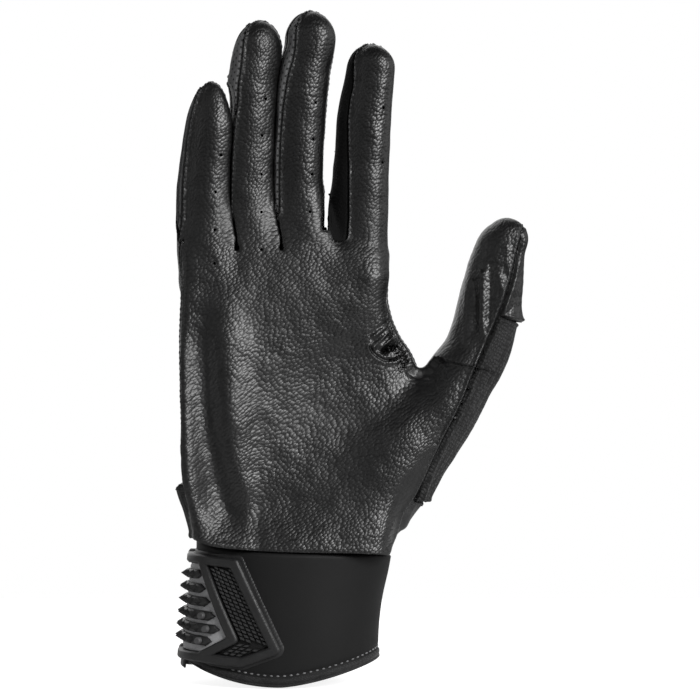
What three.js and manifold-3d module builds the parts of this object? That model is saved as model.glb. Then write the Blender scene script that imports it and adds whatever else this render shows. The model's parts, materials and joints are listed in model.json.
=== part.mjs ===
// A right-hand batting glove standing on its cuff, filled as by a hand.
// Millimetres, +Z up: the palm faces -Y, the fingers point to +Z and the thumb lies at +X.
// The origin is the middle of the cuff's opening, at the lowest point of its hem.
// Every panel is a sheet with a wall of its own, sewn edge to edge to its neighbours.

import * as THREE from "three";
import { mergeVertices } from "three/addons/utils/BufferGeometryUtils.js";
import Module from "manifold-3d";

// Walls and clearances
const LEATHER = 1.2; // palm leather with its lining
const FABRIC = 1.1; // stretch fabric of the back and of the side strips
const NEOPRENE = 2.4; // cuff
const SEAM = 0.6; // between two sewn edges
const LAYER = 0.35; // between two layers that lie on each other
const BEND_GAP = 0.4; // between the two rims of a bending finger

// Hand
const CUFF_TOP = 46; // height of the seam between cuff and hand
const KNUCKLE_HEIGHT = 157; // height at which the fingers bend from the palm
const ULNAR_EDGE = -38.2; // little-finger edge of the finger row
const WRIST_CENTRE = 2.6; // middle and half-width of the hand at the wrist seam
const WRIST_HALF = 35.3;
const WRIST_DEPTH = 24; // half the cuff's depth
const WRIST_STEP = 2; // the cuff stands this far outside the hand in front and behind
const PALM_DEPTHS = [21, 20, 16.5, 11]; // palm in front of the middle plane, above the wrist to the knuckles
const BACK_DEPTHS = [19, 16, 12, 8.2]; // back of the hand behind it
const HAND_ROUNDNESS = { wrist: 2.4, knuckles: 4 }; // exponent of the hand's cross-section
const HEEL_BULGE = 7; // how far the thumb's heel stands out past a straight edge
const ULNAR_BULGE = 3.4; // the same at the little finger's edge

// Fingers: width, length above the knuckle, lean to the thumb's side, place of the palm side at the knuckle
const FINGERS = [
  { name: "pinky", width: 17.8, length: 55.5, lean: 2.4, front: -11.6, strips: ["thumb"] },
  { name: "ring", width: 17.2, length: 77, lean: 2, front: -10.4, strips: ["ulnar", "thumb"] },
  { name: "middle", width: 17.4, length: 80.5, lean: 1.6, front: -9.8, strips: ["ulnar", "thumb"] },
  { name: "index", width: 19.8, length: 68.8, lean: 3.2, front: -10.6, strips: ["ulnar"] },
];
const FINGER_GAP = 0.8; // between neighbouring fingers
const FINGER_FLATNESS = 0.95; // depth of a finger over its width
const FINGER_BOW = -1.6; // sideways bow of a finger at half its length
const FINGER_CURL = 4; // how far a fingertip comes forward
const FINGER_TWIST = 12; // turn of the seams, so that the ulnar ones come forward
const FINGER_BEND = 0.39; // place of the middle joint along a finger
const TIP_TAPER = 0.03; // loss of width along a finger
const STRIP_HALF_ANGLE = 21; // half the angle that a side strip takes of the section
const STRIP_END = 0.86; // where the side strips run out

// Thumb
const THUMB = {
  name: "thumb", width: 22.4, length: 53.2, lean: 14, front: -15.5, strips: [],
};
const THUMB_BASE = { x: 65.4, z: 112.7 }; // middle of the thumb's root
const THUMB_TWIST = -20; // turn of the thumb's seams
const THUMB_BEND = 0.36; // place of the thumb's middle joint
const FOLD_PATCH = { low: 0.63, high: 0.69, from: 0.36, to: 0.6, wall: 1 }; // sewn in the thumb's fold

// Cuff
const HEM_CENTRE = -0.7; // middle and half-width of the cuff at its hem
const HEM_HALF = 34.4;
const CUFF_ROUNDNESS = 2.2;
const HEM_RISE = { ulnar: 7.6, thumb: 8.4, back: 7 }; // height of the hem over its lowest point
const HEM_HEIGHT = 3; // binding along the hem
const HEM_WALL = 3.2;

// Closure, drawn on the unrolled cuff: along runs from the ulnar edge to the palm, z is the height
const CLOSURE = {
  topLeft: { along: -4, z: CUFF_TOP - 2.4 },
  innerTop: { along: 13, z: CUFF_TOP - 1.8 },
  topCorner: { along: 28.6, z: CUFF_TOP - 2.8 },
  tip: { along: 43.6, z: 12.3 },
  bottomCorner: { along: 32, z: 8.4 },
  innerBottom: { along: 14.6, z: 8.8 },
  bottomLeft: { along: -4, z: 8.6 },
  elbow: { along: 28.4, z: 16.4 },
};
const BAR_WIDTH = 3.2; // bars of the closure's frame
const BAR_HEIGHT = 3; // their height over the cuff
const INSET_HEIGHT = 1.9;
const BED_HEIGHT = 1.2;
const ELBOW_PLACE = 0.25; // height of the elbow within the closure
const RIB_COUNT = 6;
const RIB = { width: 2.9, height: 1.8, point: 2.6, margin: 5.2 };
const STUD = { radius: 1.1, height: 2.2, pitch: 4.6, sides: 6 };
const TAB = { from: -5, to: -58, low: 12, drop: 5, wall: 2, point: 5, grips: 4, grip: 1.6 };
const HOOK_WALL = 1; // hook patch under the tab and loop patch on the cuff
const HOOK_MARGIN = 3;
const HEM_PROUD = Math.max(0, (HEM_WALL - NEOPRENE) / 2); // the hem stands this far out of the cuff
const CLOSURE_LIFT = HEM_PROUD + LAYER;

// Webs, knuckles and edge tab
const WEB = { width: 3.6, height: 5, sides: 8 };
const KNUCKLE_INSERT = { low: 0.7, high: 0.92, reach: 0.62, wall: 1.2, ridges: 6, ridge: 0.8 };
const EDGE_TAB = { low: 0.04, high: 0.24, width: 3.2, wall: 1.2 };

// Fineness of the meshes
const PANEL_COLUMNS = 8;
const STRIP_COLUMNS = 3;
const HAND_COLUMNS = 14;
const CUFF_COLUMNS = 16;
const FINGER_ROWS = 4;
const TIP_ROWS = 4;

const wasm = await Module();
wasm.setup();
const { degToRad, lerp, clamp } = THREE.MathUtils;

// Materials
function material(color, roughness) {
  return new THREE.MeshStandardMaterial({ color, roughness, metalness: 0 });
}
const leather = material(0x1b1b1c, 0.5);
const sideLeather = material(0x2a2a2b, 0.55);
const fabric = material(0x161617, 0.85);
const neoprene = material(0x202021, 0.75);
const binding = material(0x161617, 0.5);
const rubber = material(0x242526, 0.6);
const greyRubber = material(0x55585b, 0.65);
const hookAndLoop = material(0x111112, 0.95);

// A solid between two grids of points, rows by columns. Seen from outside, the columns run to the
// right and the rows upwards. Points that coincide become one.
function solidBetween(outer, inner) {
  const rows = outer.length;
  const columns = outer[0].length;
  const points = [...outer.flat(), ...inner.flat()];
  const at = (row, column, side) => side * rows * columns + row * columns + column;
  const triangles = [];
  const quad = (a, b, c, d) => triangles.push(a, b, c, a, c, d);
  for (let r = 0; r < rows - 1; r++) {
    for (let c = 0; c < columns - 1; c++) {
      quad(at(r, c, 0), at(r, c + 1, 0), at(r + 1, c + 1, 0), at(r + 1, c, 0));
      quad(at(r, c, 1), at(r + 1, c, 1), at(r + 1, c + 1, 1), at(r, c + 1, 1));
    }
  }
  for (let c = 0; c < columns - 1; c++) {
    quad(at(0, c, 1), at(0, c + 1, 1), at(0, c + 1, 0), at(0, c, 0));
    quad(at(rows - 1, c, 0), at(rows - 1, c + 1, 0), at(rows - 1, c + 1, 1), at(rows - 1, c, 1));
  }
  for (let r = 0; r < rows - 1; r++) {
    quad(at(r, 0, 0), at(r + 1, 0, 0), at(r + 1, 0, 1), at(r, 0, 1));
    quad(at(r, columns - 1, 1), at(r + 1, columns - 1, 1), at(r + 1, columns - 1, 0), at(r, columns - 1, 0));
  }
  const geometry = new THREE.BufferGeometry();
  const positions = triangles.flatMap((i) => points[i].toArray());
  geometry.setAttribute("position", new THREE.Float32BufferAttribute(positions, 3));
  return withoutSlivers(mergeVertices(geometry, 1e-3));
}

// Drops the triangles whose corners have become one point.
function withoutSlivers(geometry) {
  const corners = geometry.index.array;
  const kept = [];
  for (let i = 0; i < corners.length; i += 3) {
    const [a, b, c] = [corners[i], corners[i + 1], corners[i + 2]];
    if (a !== b && b !== c && c !== a) kept.push(a, b, c);
  }
  geometry.setIndex(kept);
  return geometry;
}

// A grid of points from a function of the row's and the column's place, each from 0 to 1.
function grid(rows, columns, point) {
  return Array.from({ length: rows + 1 }, (_, r) =>
    Array.from({ length: columns + 1 }, (_, c) => point(r / rows, c / columns)));
}

// The solids joined into one geometry.
function joined(geometries) {
  const solids = geometries.map((geometry) => {
    const bare = geometry.clone();
    bare.deleteAttribute("normal");
    bare.deleteAttribute("uv");
    const merged = mergeVertices(bare.index ? bare : mergeVertices(bare), 1e-3);
    const vertProperties = Float32Array.from(merged.attributes.position.array);
    const triVerts = Uint32Array.from(merged.index.array);
    return new wasm.Manifold(new wasm.Mesh({ numProp: 3, vertProperties, triVerts }));
  });
  const mesh = solids.reduce((sum, solid) => sum.add(solid)).getMesh();
  const geometry = new THREE.BufferGeometry();
  geometry.setAttribute("position", new THREE.Float32BufferAttribute(mesh.vertProperties, 3));
  geometry.setIndex(Array.from(mesh.triVerts));
  return geometry;
}

function named(name, geometry, finish) {
  geometry.computeVertexNormals();
  const mesh = new THREE.Mesh(geometry, finish);
  mesh.name = name;
  return mesh;
}

// A power that keeps the sign, for the rounded sections.
function rounded(value, exponent) {
  return Math.sign(value) * Math.abs(value) ** (2 / exponent);
}

// A smooth value through evenly spaced ones.
function through(values, place) {
  const curve = new THREE.SplineCurve(values.map((value, i) => new THREE.Vector2(i, value)));
  return curve.getPoint(clamp(place, 0, 1)).y;
}

// The surface normal of a function of two places, by small steps.
function normalOf(surface, row, column) {
  const step = 1e-3;
  const across = surface(row, column + step).sub(surface(row, column - step));
  const along = surface(row + step, column).sub(surface(row - step, column));
  return across.cross(along).normalize();
}

// FINGERS

// The outside of a finger or thumb in its own frame: the origin is on the palm side at the bend,
// X runs along the bend, Y to the back and Z to the tip. Angle 0 faces the palm, 90 the thumb's side.
function fingerSkin(finger) {
  const halfWidth = finger.width / 2;
  const halfDepth = halfWidth * FINGER_FLATNESS;
  const tipLength = halfWidth * 1.1;
  return (z, angle) => {
    const place = clamp(z / finger.length, 0, 1);
    const intoTip = clamp((z - finger.length + tipLength) / tipLength, 0, 1);
    const size = (1 - TIP_TAPER * place) * Math.sqrt(Math.max(0, 1 - intoTip ** 2.2));
    const turn = degToRad(angle);
    return new THREE.Vector3(
      FINGER_BOW * 4 * place * (1 - place) + halfWidth * size * rounded(Math.sin(turn), 2.3),
      halfDepth - FINGER_CURL * place ** 2 - halfDepth * size * rounded(Math.cos(turn), 2.3),
      Math.min(z, finger.length),
    );
  };
}

// The skin's point a wall further in. At the very tip the skin faces along the finger.
function inside(finger, skin, z, angle, wall) {
  const point = skin(z, angle);
  if (z > finger.length - 1e-6) return point.sub(new THREE.Vector3(0, 0, wall));
  const normal = normalOf((row, column) => skin(row, column), Math.min(z, finger.length - 0.01), angle);
  return point.addScaledVector(normal, -wall);
}

// Half the angle that the strip on one side takes at a height, with nothing past its end.
function stripAngle(finger, side, z) {
  if (!finger.strips.includes(side)) return 0;
  const left = (STRIP_END - z / finger.length) / (STRIP_END - FINGER_BEND);
  return left < 0 ? 0 : STRIP_HALF_ANGLE * (0.16 + 0.84 * Math.min(1, left * 1.4));
}

// A piece of a finger between two heights and two angles, the angles given as functions of height.
function fingerPanel(finger, heights, fromAngle, toAngle, columns, wall) {
  const skin = fingerSkin(finger);
  const points = (pick) => heights.map((z) => Array.from({ length: columns + 1 },
    (_, c) => pick(z, lerp(fromAngle(z), toAngle(z), c / columns))));
  const outer = points((z, angle) => skin(z, angle));
  const inner = points((z, angle) => inside(finger, skin, z, angle, wall));
  return solidBetween(outer, inner);
}

function evenly(from, to, steps) {
  return Array.from({ length: steps + 1 }, (_, i) => lerp(from, to, i / steps));
}

// One finger or thumb: a lower group that turns at the knuckle and an upper one that turns in it.
function makeFinger(finger, twist, bendPlace, backFinish) {
  const bendHeight = bendPlace * finger.length;
  const seamAngle = (SEAM / 2 / (finger.width / 2)) * THREE.MathUtils.RAD2DEG;
  const stripEnd = STRIP_END * finger.length;
  const tipStart = finger.length - finger.width * 0.55;
  const rounding = Array.from({ length: TIP_ROWS },
    (_, i) => lerp(tipStart, finger.length, Math.sin(degToRad((90 * (i + 1)) / TIP_ROWS))));
  const spans = {
    lower: evenly(0, bendHeight - BEND_GAP, FINGER_ROWS / 2),
    upper: [...evenly(bendHeight, tipStart, FINGER_ROWS), ...rounding],
  };
  const edge = (side, sign) => (z) => sign * 90 + twist - sign * stripAngle(finger, side, z);
  const groups = { lower: new THREE.Group(), upper: new THREE.Group() };
  for (const [part, heights] of Object.entries(spans)) {
    const group = groups[part];
    const front = fingerPanel(finger, heights, (z) => edge("ulnar", -1)(z) + seamAngle,
      (z) => edge("thumb", 1)(z) - seamAngle, PANEL_COLUMNS, LEATHER);
    const back = fingerPanel(finger, heights,
      (z) => 90 + twist + stripAngle(finger, "thumb", z) + seamAngle,
      (z) => 270 + twist - stripAngle(finger, "ulnar", z) - seamAngle, PANEL_COLUMNS, FABRIC);
    group.add(named(`${finger.name}_front_${part}`, front, leather));
    group.add(named(`${finger.name}_back_${part}`, back, backFinish));
    for (const side of finger.strips) {
      const middle = (side === "thumb" ? 90 : -90) + twist;
      const reach = heights.filter((z) => z <= stripEnd);
      if (part === "upper") reach.push(stripEnd - SEAM);
      const strip = fingerPanel(finger, reach.sort((a, b) => a - b),
        (z) => middle - stripAngle(finger, side, z), (z) => middle + stripAngle(finger, side, z),
        STRIP_COLUMNS, FABRIC);
      group.add(named(`${finger.name}_${side}_strip_${part}`, strip, sideLeather));
    }
  }
  // The bend's axis lies on the palm side, so the upper piece opens away from the lower one.
  const pivot = fingerSkin(finger)(bendHeight, 0);
  groups.upper.children.forEach((mesh) => mesh.geometry.translate(-pivot.x, -pivot.y, -pivot.z));
  groups.upper.position.copy(pivot);
  groups.upper.name = `${finger.name}_middle_joint`;
  groups.lower.name = `${finger.name}_knuckle`;
  groups.lower.rotation.y = degToRad(finger.lean);
  groups.lower.add(groups.upper);
  return groups.lower;
}

// HAND

// Middle of each finger's root: the fingers stand side by side from the ulnar edge.
function fingerCentres() {
  let edge = ULNAR_EDGE;
  return FINGERS.map((finger) => {
    const centre = edge + finger.width / 2;
    edge += finger.width + FINGER_GAP;
    return centre;
  });
}

const thumbLean = degToRad(THUMB.lean);
const thumbAcross = new THREE.Vector2(Math.cos(thumbLean), -Math.sin(thumbLean));
const thumbHalfDepth = (THUMB.width / 2) * FINGER_FLATNESS;
const thumbMiddle = THUMB.front + thumbHalfDepth;
const radialEdge = fingerCentres().at(-1) + FINGERS.at(-1).width / 2;

// A point on the edge of the thumb's hole in the hand, from its outer end (-1) to the fold (1).
function thumbHole(place) {
  const half = THUMB.width / 2 + SEAM;
  return new THREE.Vector2(
    THUMB_BASE.x - thumbAcross.x * half * place - Math.sin(thumbLean) * SEAM,
    THUMB_BASE.z - thumbAcross.y * half * place - Math.cos(thumbLean) * SEAM,
  );
}

const handTop = KNUCKLE_HEIGHT - SEAM * 1.5;
const handBottom = CUFF_TOP + SEAM;

// A curve between two points that stands out to the right of its chord.
function bowed(from, to, bulge) {
  const middle = from.clone().lerp(to, 0.5);
  const across = new THREE.Vector2(to.y - from.y, from.x - to.x).normalize();
  return new THREE.QuadraticBezierCurve(from, middle.addScaledVector(across, bulge), to);
}

function ulnarEdge() {
  const low = new THREE.Vector2(WRIST_CENTRE - WRIST_HALF, handBottom);
  return bowed(low, new THREE.Vector2(ULNAR_EDGE, handTop), -ULNAR_BULGE);
}

// The hand's rows, fanned from the ulnar edge to the heel, the thumb's hole and the index finger.
function handRows() {
  const left = ulnarEdge();
  const heel = bowed(new THREE.Vector2(WRIST_CENTRE + WRIST_HALF, handBottom), thumbHole(-1), HEEL_BULGE);
  const fold = thumbHole(1);
  const side = new THREE.QuadraticBezierCurve(fold, new THREE.Vector2(radialEdge, fold.y + 1),
    new THREE.Vector2(radialEdge, handTop));
  const stretches = [
    { steps: 5, from: 0, to: 0.54, right: (t) => heel.getPoint(t), open: () => 0 },
    { steps: 4, from: 0.54, to: 0.66, right: (t) => thumbHole(2 * t - 1), open: (t) => Math.sin(Math.PI * t) },
    { steps: 4, from: 0.66, to: 1, right: (t) => side.getPoint(t), open: () => 0 },
  ];
  const rows = [];
  for (const { steps, from, to, right, open } of stretches) {
    for (let k = rows.length ? 1 : 0; k <= steps; k++) {
      const place = lerp(from, to, k / steps);
      rows.push({ place, left: left.getPoint(place), right: right(k / steps), open: open(k / steps) });
    }
  }
  return rows;
}

// How far the hand's radial edge follows the thumb to the front, by the row's place.
function thumbPull(place) {
  return Math.exp(-(((place - 0.6) / 0.16) ** 2));
}

// The hand's surface on one side: -1 is the palm and 1 the back. across runs from -1 to 1.
function handPoint(row, across, side) {
  const depths = [WRIST_DEPTH - WRIST_STEP, ...(side < 0 ? PALM_DEPTHS : BACK_DEPTHS)];
  const depth = through(depths, row.place);
  const exponent = lerp(HAND_ROUNDNESS.wrist, HAND_ROUNDNESS.knuckles, row.place);
  const u = Math.sin((across * Math.PI) / 2);
  const pull = across > 0 ? thumbPull(row.place) : 0;
  const open = across > 0 ? row.open * thumbHalfDepth : 0;
  const end = pull * thumbMiddle + side * Math.max(open, SEAM);
  const full = side * Math.max(depth, side * end);
  const bulge = (1 - Math.abs(u) ** exponent) ** (1 / exponent);
  const spot = row.left.clone().lerp(row.right, (1 + u) / 2);
  return new THREE.Vector3(spot.x, lerp(end, full, bulge), spot.y);
}

// The inside of a grid, one wall below it, by the normals of the grid itself.
function insideGrid(outer, wall) {
  const rows = outer.length - 1;
  const columns = outer[0].length - 1;
  return outer.map((row, r) => row.map((point, c) => {
    const across = row[Math.min(c + 1, columns)].clone().sub(row[Math.max(c - 1, 0)]);
    const along = outer[Math.min(r + 1, rows)][c].clone().sub(outer[Math.max(r - 1, 0)][c]);
    return point.clone().addScaledVector(across.cross(along).normalize(), -wall);
  }));
}

// Seen from outside the columns run to the right, so the back's run from the thumb's side.
function handSheet(side, wall) {
  const rows = handRows();
  const outer = rows.map((row) => Array.from({ length: HAND_COLUMNS + 1 },
    (_, c) => handPoint(row, side * (1 - (2 * c) / HAND_COLUMNS), side)));
  return solidBetween(outer, insideGrid(outer, wall));
}

// A layer on the hand between two places and two columns, lifted off it, with a relief on top.
function handLayer(side, { low, high, from, to, lift, wall, relief, rows, columns }) {
  const known = handRows();
  const rowAt = (place) => {
    const next = Math.max(1, known.findIndex((row) => row.place >= place));
    const [a, b] = [known[next - 1], known[next]];
    const share = (place - a.place) / (b.place - a.place);
    return {
      place, open: lerp(a.open, b.open, share),
      left: a.left.clone().lerp(b.left, share), right: a.right.clone().lerp(b.right, share),
    };
  };
  const skin = (place, across) => handPoint(rowAt(place), -side * across, side);
  const layer = (height) => grid(rows, columns, (r, c) => {
    const place = lerp(low, high, r);
    const across = lerp(from, to, c);
    return skin(place, across).addScaledVector(normalOf(skin, place, across), height(r));
  });
  return solidBetween(layer((r) => lift + wall + relief(r)), layer(() => lift));
}

function makeHand() {
  const group = new THREE.Group();
  group.add(named("palm_panel", handSheet(-1, LEATHER), leather));
  group.add(named("back_panel", handSheet(1, FABRIC), fabric));
  group.add(named("thumb_fold_patch", foldPatch(), leather));
  group.add(named("knuckle_insert", knuckleInsert(), sideLeather));
  group.add(named("ulnar_edge_tab", edgeTab(), fabric));
  FINGERS.slice(1).forEach((finger, i) => {
    group.add(named(`web_${FINGERS[i].name}_${finger.name}`, web(i), sideLeather));
  });
  return group;
}

function foldPatch() {
  const { low, high, from, to, wall } = FOLD_PATCH;
  const flat = () => 0;
  return handLayer(-1, { low, high, from, to, lift: LAYER, wall, relief: flat, rows: 5, columns: 6 });
}

// The ridged panel across the knuckles, on the back.
function knuckleInsert() {
  const { low, high, reach, wall, ridges, ridge } = KNUCKLE_INSERT;
  const relief = (r) => ridge * Math.sin(Math.PI * ridges * r) ** 2;
  return handLayer(1, {
    low, high, from: -reach, to: reach, lift: LAYER, wall, relief, rows: ridges * 2, columns: 8,
  });
}

// A flat tongue that stands out from the ulnar edge just above the cuff, widest at its top.
function edgeTab() {
  const { low, high, width, wall } = EDGE_TAB;
  const steps = 6;
  const edge = (t) => ulnarEdge().getPoint(lerp(low, high, t));
  const near = evenly(0, 1, steps).map((t) => edge(t).add(new THREE.Vector2(-SEAM, 0)));
  const far = evenly(1, 0, steps).map((t) => edge(t).add(new THREE.Vector2(-SEAM - width * (0.3 + 0.7 * t), 0)));
  const geometry = new THREE.ExtrudeGeometry(new THREE.Shape([...near, ...far]), { depth: wall, bevelEnabled: false });
  return geometry.rotateX(Math.PI / 2).translate(0, wall / 2, 0);
}

// The saddle between two fingers, from the palm to the back, with a round top.
function web(i) {
  const x = fingerCentres()[i] + FINGERS[i].width / 2 + FINGER_GAP / 2;
  const row = handRows().at(-1);
  const across = (Math.asin((2 * (x - row.left.x)) / (row.right.x - row.left.x) - 1) * 2) / Math.PI;
  const front = handPoint(row, across, -1).y + LEATHER + LAYER;
  const back = handPoint(row, across, 1).y - FABRIC - LAYER;
  const half = WEB.width / 2;
  const arch = evenly(0, Math.PI, WEB.sides).map((turn) => new THREE.Vector2(half * Math.cos(turn), half * Math.sin(turn)));
  const foot = half - WEB.height;
  const outline = [...arch, new THREE.Vector2(-half, foot), new THREE.Vector2(half, foot)];
  const geometry = new THREE.ExtrudeGeometry(new THREE.Shape(outline), { depth: back - front, bevelEnabled: false });
  return geometry.rotateX(Math.PI / 2).translate(x, back, row.right.y - half);
}

// CUFF

// The cuff's section at a height, standing lift proud of its surface. Angle 0 faces the palm.
function cuffPoint(z, angle, lift = 0) {
  const rise = clamp(z / CUFF_TOP, 0, 1);
  const centre = lerp(HEM_CENTRE, WRIST_CENTRE, rise);
  const half = lerp(HEM_HALF, WRIST_HALF, rise);
  const skin = (height, turn) => new THREE.Vector3(
    centre + half * rounded(Math.sin(turn), CUFF_ROUNDNESS),
    -WRIST_DEPTH * rounded(Math.cos(turn), CUFF_ROUNDNESS),
    height,
  );
  const turn = degToRad(angle);
  if (lift === 0) return skin(z, turn);
  return skin(z, turn).addScaledVector(normalOf(skin, z, turn), lift);
}

// The angle at a length measured round the cuff from its ulnar edge, by adding up short chords.
const cuffLengths = (() => {
  const middle = CUFF_TOP / 2;
  const lengths = [{ angle: -270, along: 0 }];
  for (let angle = -269; angle <= 90; angle++) {
    const chord = cuffPoint(middle, angle).distanceTo(cuffPoint(middle, angle - 1));
    lengths.push({ angle, along: lengths.at(-1).along + chord });
  }
  const ulnar = lengths.find((entry) => entry.angle === -90).along;
  return lengths.map((entry) => ({ angle: entry.angle, along: entry.along - ulnar }));
})();

function cuffAngle(along) {
  const next = cuffLengths.findIndex((entry) => entry.along >= along);
  const [a, b] = [cuffLengths[next - 1], cuffLengths[next]];
  return lerp(a.angle, b.angle, (along - a.along) / (b.along - a.along));
}

// Height of the hem: lowest in front of the palm.
function hemHeight(angle) {
  const turn = degToRad(angle);
  const side = Math.sin(turn) < 0 ? HEM_RISE.ulnar : HEM_RISE.thumb;
  const share = Math.abs(Math.sin(turn)) ** 1.4;
  return Math.cos(turn) > 0 ? side * share : lerp(HEM_RISE.back, side, share);
}

// Half of the cuff or of its hem, between two heights given as functions of the angle.
function cuffHalf(side, low, high, wall, lift, rows) {
  const gap = (SEAM / WRIST_DEPTH) * THREE.MathUtils.RAD2DEG;
  const [from, to] = side < 0 ? [-90 + gap, 90 - gap] : [90 + gap, 270 - gap];
  const layer = (height) => grid(rows, CUFF_COLUMNS, (r, c) => {
    const angle = lerp(from, to, c);
    return cuffPoint(lerp(low(angle), high(angle), r), angle, height);
  });
  return solidBetween(layer(lift), layer(lift - wall));
}

// A layer on the unrolled cuff: spot gives the place of a row and a column.
function cuffLayer(rows, columns, lift, wall, spot) {
  const layer = (height) => grid(rows, columns, (r, c) => {
    const { along, z } = spot(r, c);
    return cuffPoint(z, cuffAngle(along), height(r, c));
  });
  const thickness = typeof wall === "function" ? wall : () => wall;
  return solidBetween(layer((r, c) => lift + thickness(r, c)), layer(() => lift));
}

function makeCuff() {
  const group = new THREE.Group();
  const hemTop = (angle) => hemHeight(angle) + HEM_HEIGHT;
  for (const [side, name] of [[-1, "palm_side"], [1, "back_side"]]) {
    const cuff = cuffHalf(side, (angle) => hemTop(angle) + SEAM, () => CUFF_TOP, NEOPRENE, 0, 3);
    const hem = cuffHalf(side, hemHeight, hemTop, HEM_WALL, HEM_PROUD, 1);
    group.add(named(`cuff_${name}`, cuff, neoprene));
    group.add(named(`hem_binding_${name}`, hem, binding));
  }
  return group;
}

// CLOSURE

function between(a, b, t) {
  return { along: lerp(a.along, b.along, t), z: lerp(a.z, b.z, t) };
}

// A polygon on the unrolled cuff, listed counterclockwise, with every side moved in by a distance.
function movedIn(corners, distance) {
  const sides = corners.map((a, i) => {
    const b = corners[(i + 1) % corners.length];
    const length = Math.hypot(b.along - a.along, b.z - a.z);
    const direction = { along: (b.along - a.along) / length, z: (b.z - a.z) / length };
    const start = { along: a.along - direction.z * distance, z: a.z + direction.along * distance };
    return { start, direction };
  });
  return sides.map((side, i) => {
    const before = sides.at(i - 1);
    const cross = before.direction.along * side.direction.z - before.direction.z * side.direction.along;
    const run = ((side.start.along - before.start.along) * side.direction.z
      - (side.start.z - before.start.z) * side.direction.along) / cross;
    return {
      along: before.start.along + before.direction.along * run,
      z: before.start.z + before.direction.z * run,
    };
  });
}

// A straight bar of the frame, run on past both ends by half its width.
function frameBar(from, to) {
  const length = Math.hypot(to.along - from.along, to.z - from.z);
  const direction = { along: (to.along - from.along) / length, z: (to.z - from.z) / length };
  const half = BAR_WIDTH / 2;
  const steps = Math.ceil(length / 5);
  return cuffLayer(2, steps, CLOSURE_LIFT, BAR_HEIGHT, (r, c) => {
    const run = lerp(-half, length + half, c);
    const aside = lerp(-half, half, r);
    return {
      along: from.along + direction.along * run - direction.z * aside,
      z: from.z + direction.z * run + direction.along * aside,
    };
  });
}

function closureFrame() {
  const { topLeft, innerTop, topCorner, tip, bottomCorner, innerBottom, bottomLeft, elbow } = CLOSURE;
  const path = [bottomLeft, innerBottom, bottomCorner, tip, topCorner, innerTop, topLeft];
  const rim = path.slice(1).map((corner, i) => frameBar(path[i], corner));
  return joined([...rim, frameBar(innerBottom, elbow), frameBar(elbow, innerTop)]);
}

const windowMargin = BAR_WIDTH / 2 + SEAM;

// The knurled inset between the frame's outer and inner bars: a lower arm and an upper one.
function knurlInset() {
  const { innerBottom, bottomCorner, tip, topCorner, innerTop, elbow } = CLOSURE;
  const [a, b, c, d, e, f] = movedIn([innerBottom, bottomCorner, tip, topCorner, innerTop, elbow], windowMargin);
  return cuffLayer(6, 6, CLOSURE_LIFT, INSET_HEIGHT, (r, t) => (
    r < 0.5 ? between(between(a, b, t), between(f, c, t), r * 2)
      : between(between(f, c, t), between(e, d, t), r * 2 - 1)));
}

// The window that holds the ribs: its left and right edge at a place from bottom to top.
function ribWindow() {
  const { bottomLeft, innerBottom, elbow, innerTop, topLeft } = CLOSURE;
  const [a, b, c, d, e] = movedIn([bottomLeft, innerBottom, elbow, innerTop, topLeft], windowMargin);
  const left = (t) => ({ along: bottomLeft.along, z: lerp(a.z, e.z, t) });
  const right = (t) => (t < ELBOW_PLACE ? between(b, c, t / ELBOW_PLACE)
    : between(c, d, (t - ELBOW_PLACE) / (1 - ELBOW_PLACE)));
  return { left, right };
}

function ribBed() {
  const { left, right } = ribWindow();
  return cuffLayer(8, 6, CLOSURE_LIFT, BED_HEIGHT, (r, c) => between(left(r), right(r), c));
}

// One rib on the bed, pointed at its palm end, with a row of studs.
function rib(index) {
  const { right } = ribWindow();
  const low = CLOSURE.bottomLeft.z + RIB.margin;
  const high = CLOSURE.topLeft.z - RIB.margin;
  const z = lerp(low, high, index / (RIB_COUNT - 1));
  const place = evenly(0, 1, 40).reduce((best, t) => (
    Math.abs(right(t).z - z) < Math.abs(right(best).z - z) ? t : best), 0);
  const from = CLOSURE.bottomLeft.along;
  const to = right(place).along - SEAM - RIB.width / 2;
  const lift = CLOSURE_LIFT + BED_HEIGHT + LAYER;
  const bar = cuffLayer(2, 6, lift, RIB.height, (r, c) => {
    const along = lerp(from, to, c);
    const half = (RIB.width / 2) * clamp((to - along) / RIB.point, 0.15, 1);
    return { along, z: z + lerp(-half, half, r) };
  });
  const count = Math.floor((to - RIB.point - from) / STUD.pitch);
  const studs = Array.from({ length: count }, (_, i) => stud(from + STUD.pitch * (i + 0.6), z, lift + RIB.height));
  return joined([bar, ...studs]);
}

// A blunt cone that stands square on the cuff, sunk a little into the rib that carries it.
function stud(along, z, lift) {
  const angle = cuffAngle(along);
  const sunk = 0.4;
  const foot = cuffPoint(z, angle, lift - sunk);
  const outward = cuffPoint(z, angle, lift + 1).sub(foot).normalize();
  const cone = new THREE.CylinderGeometry(STUD.radius * 0.4, STUD.radius, STUD.height + sunk, STUD.sides);
  cone.translate(0, (STUD.height + sunk) / 2, 0);
  cone.applyQuaternion(new THREE.Quaternion().setFromUnitVectors(new THREE.Vector3(0, 1, 0), outward));
  return cone.translate(foot.x, foot.y, foot.z);
}

// The tab on the back of the wrist, its free end pointed, with raised grips near that end.
function tabSpot(margin) {
  return (r, c) => {
    const along = lerp(TAB.to + margin, TAB.from - margin, c);
    const inset = TAB.point * clamp(1 - (along - TAB.to) / (TAB.point * 2), 0, 1) ** 2;
    return { along, z: lerp(TAB.low + margin + inset, CUFF_TOP - TAB.drop - margin - inset, r) };
  };
}

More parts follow.
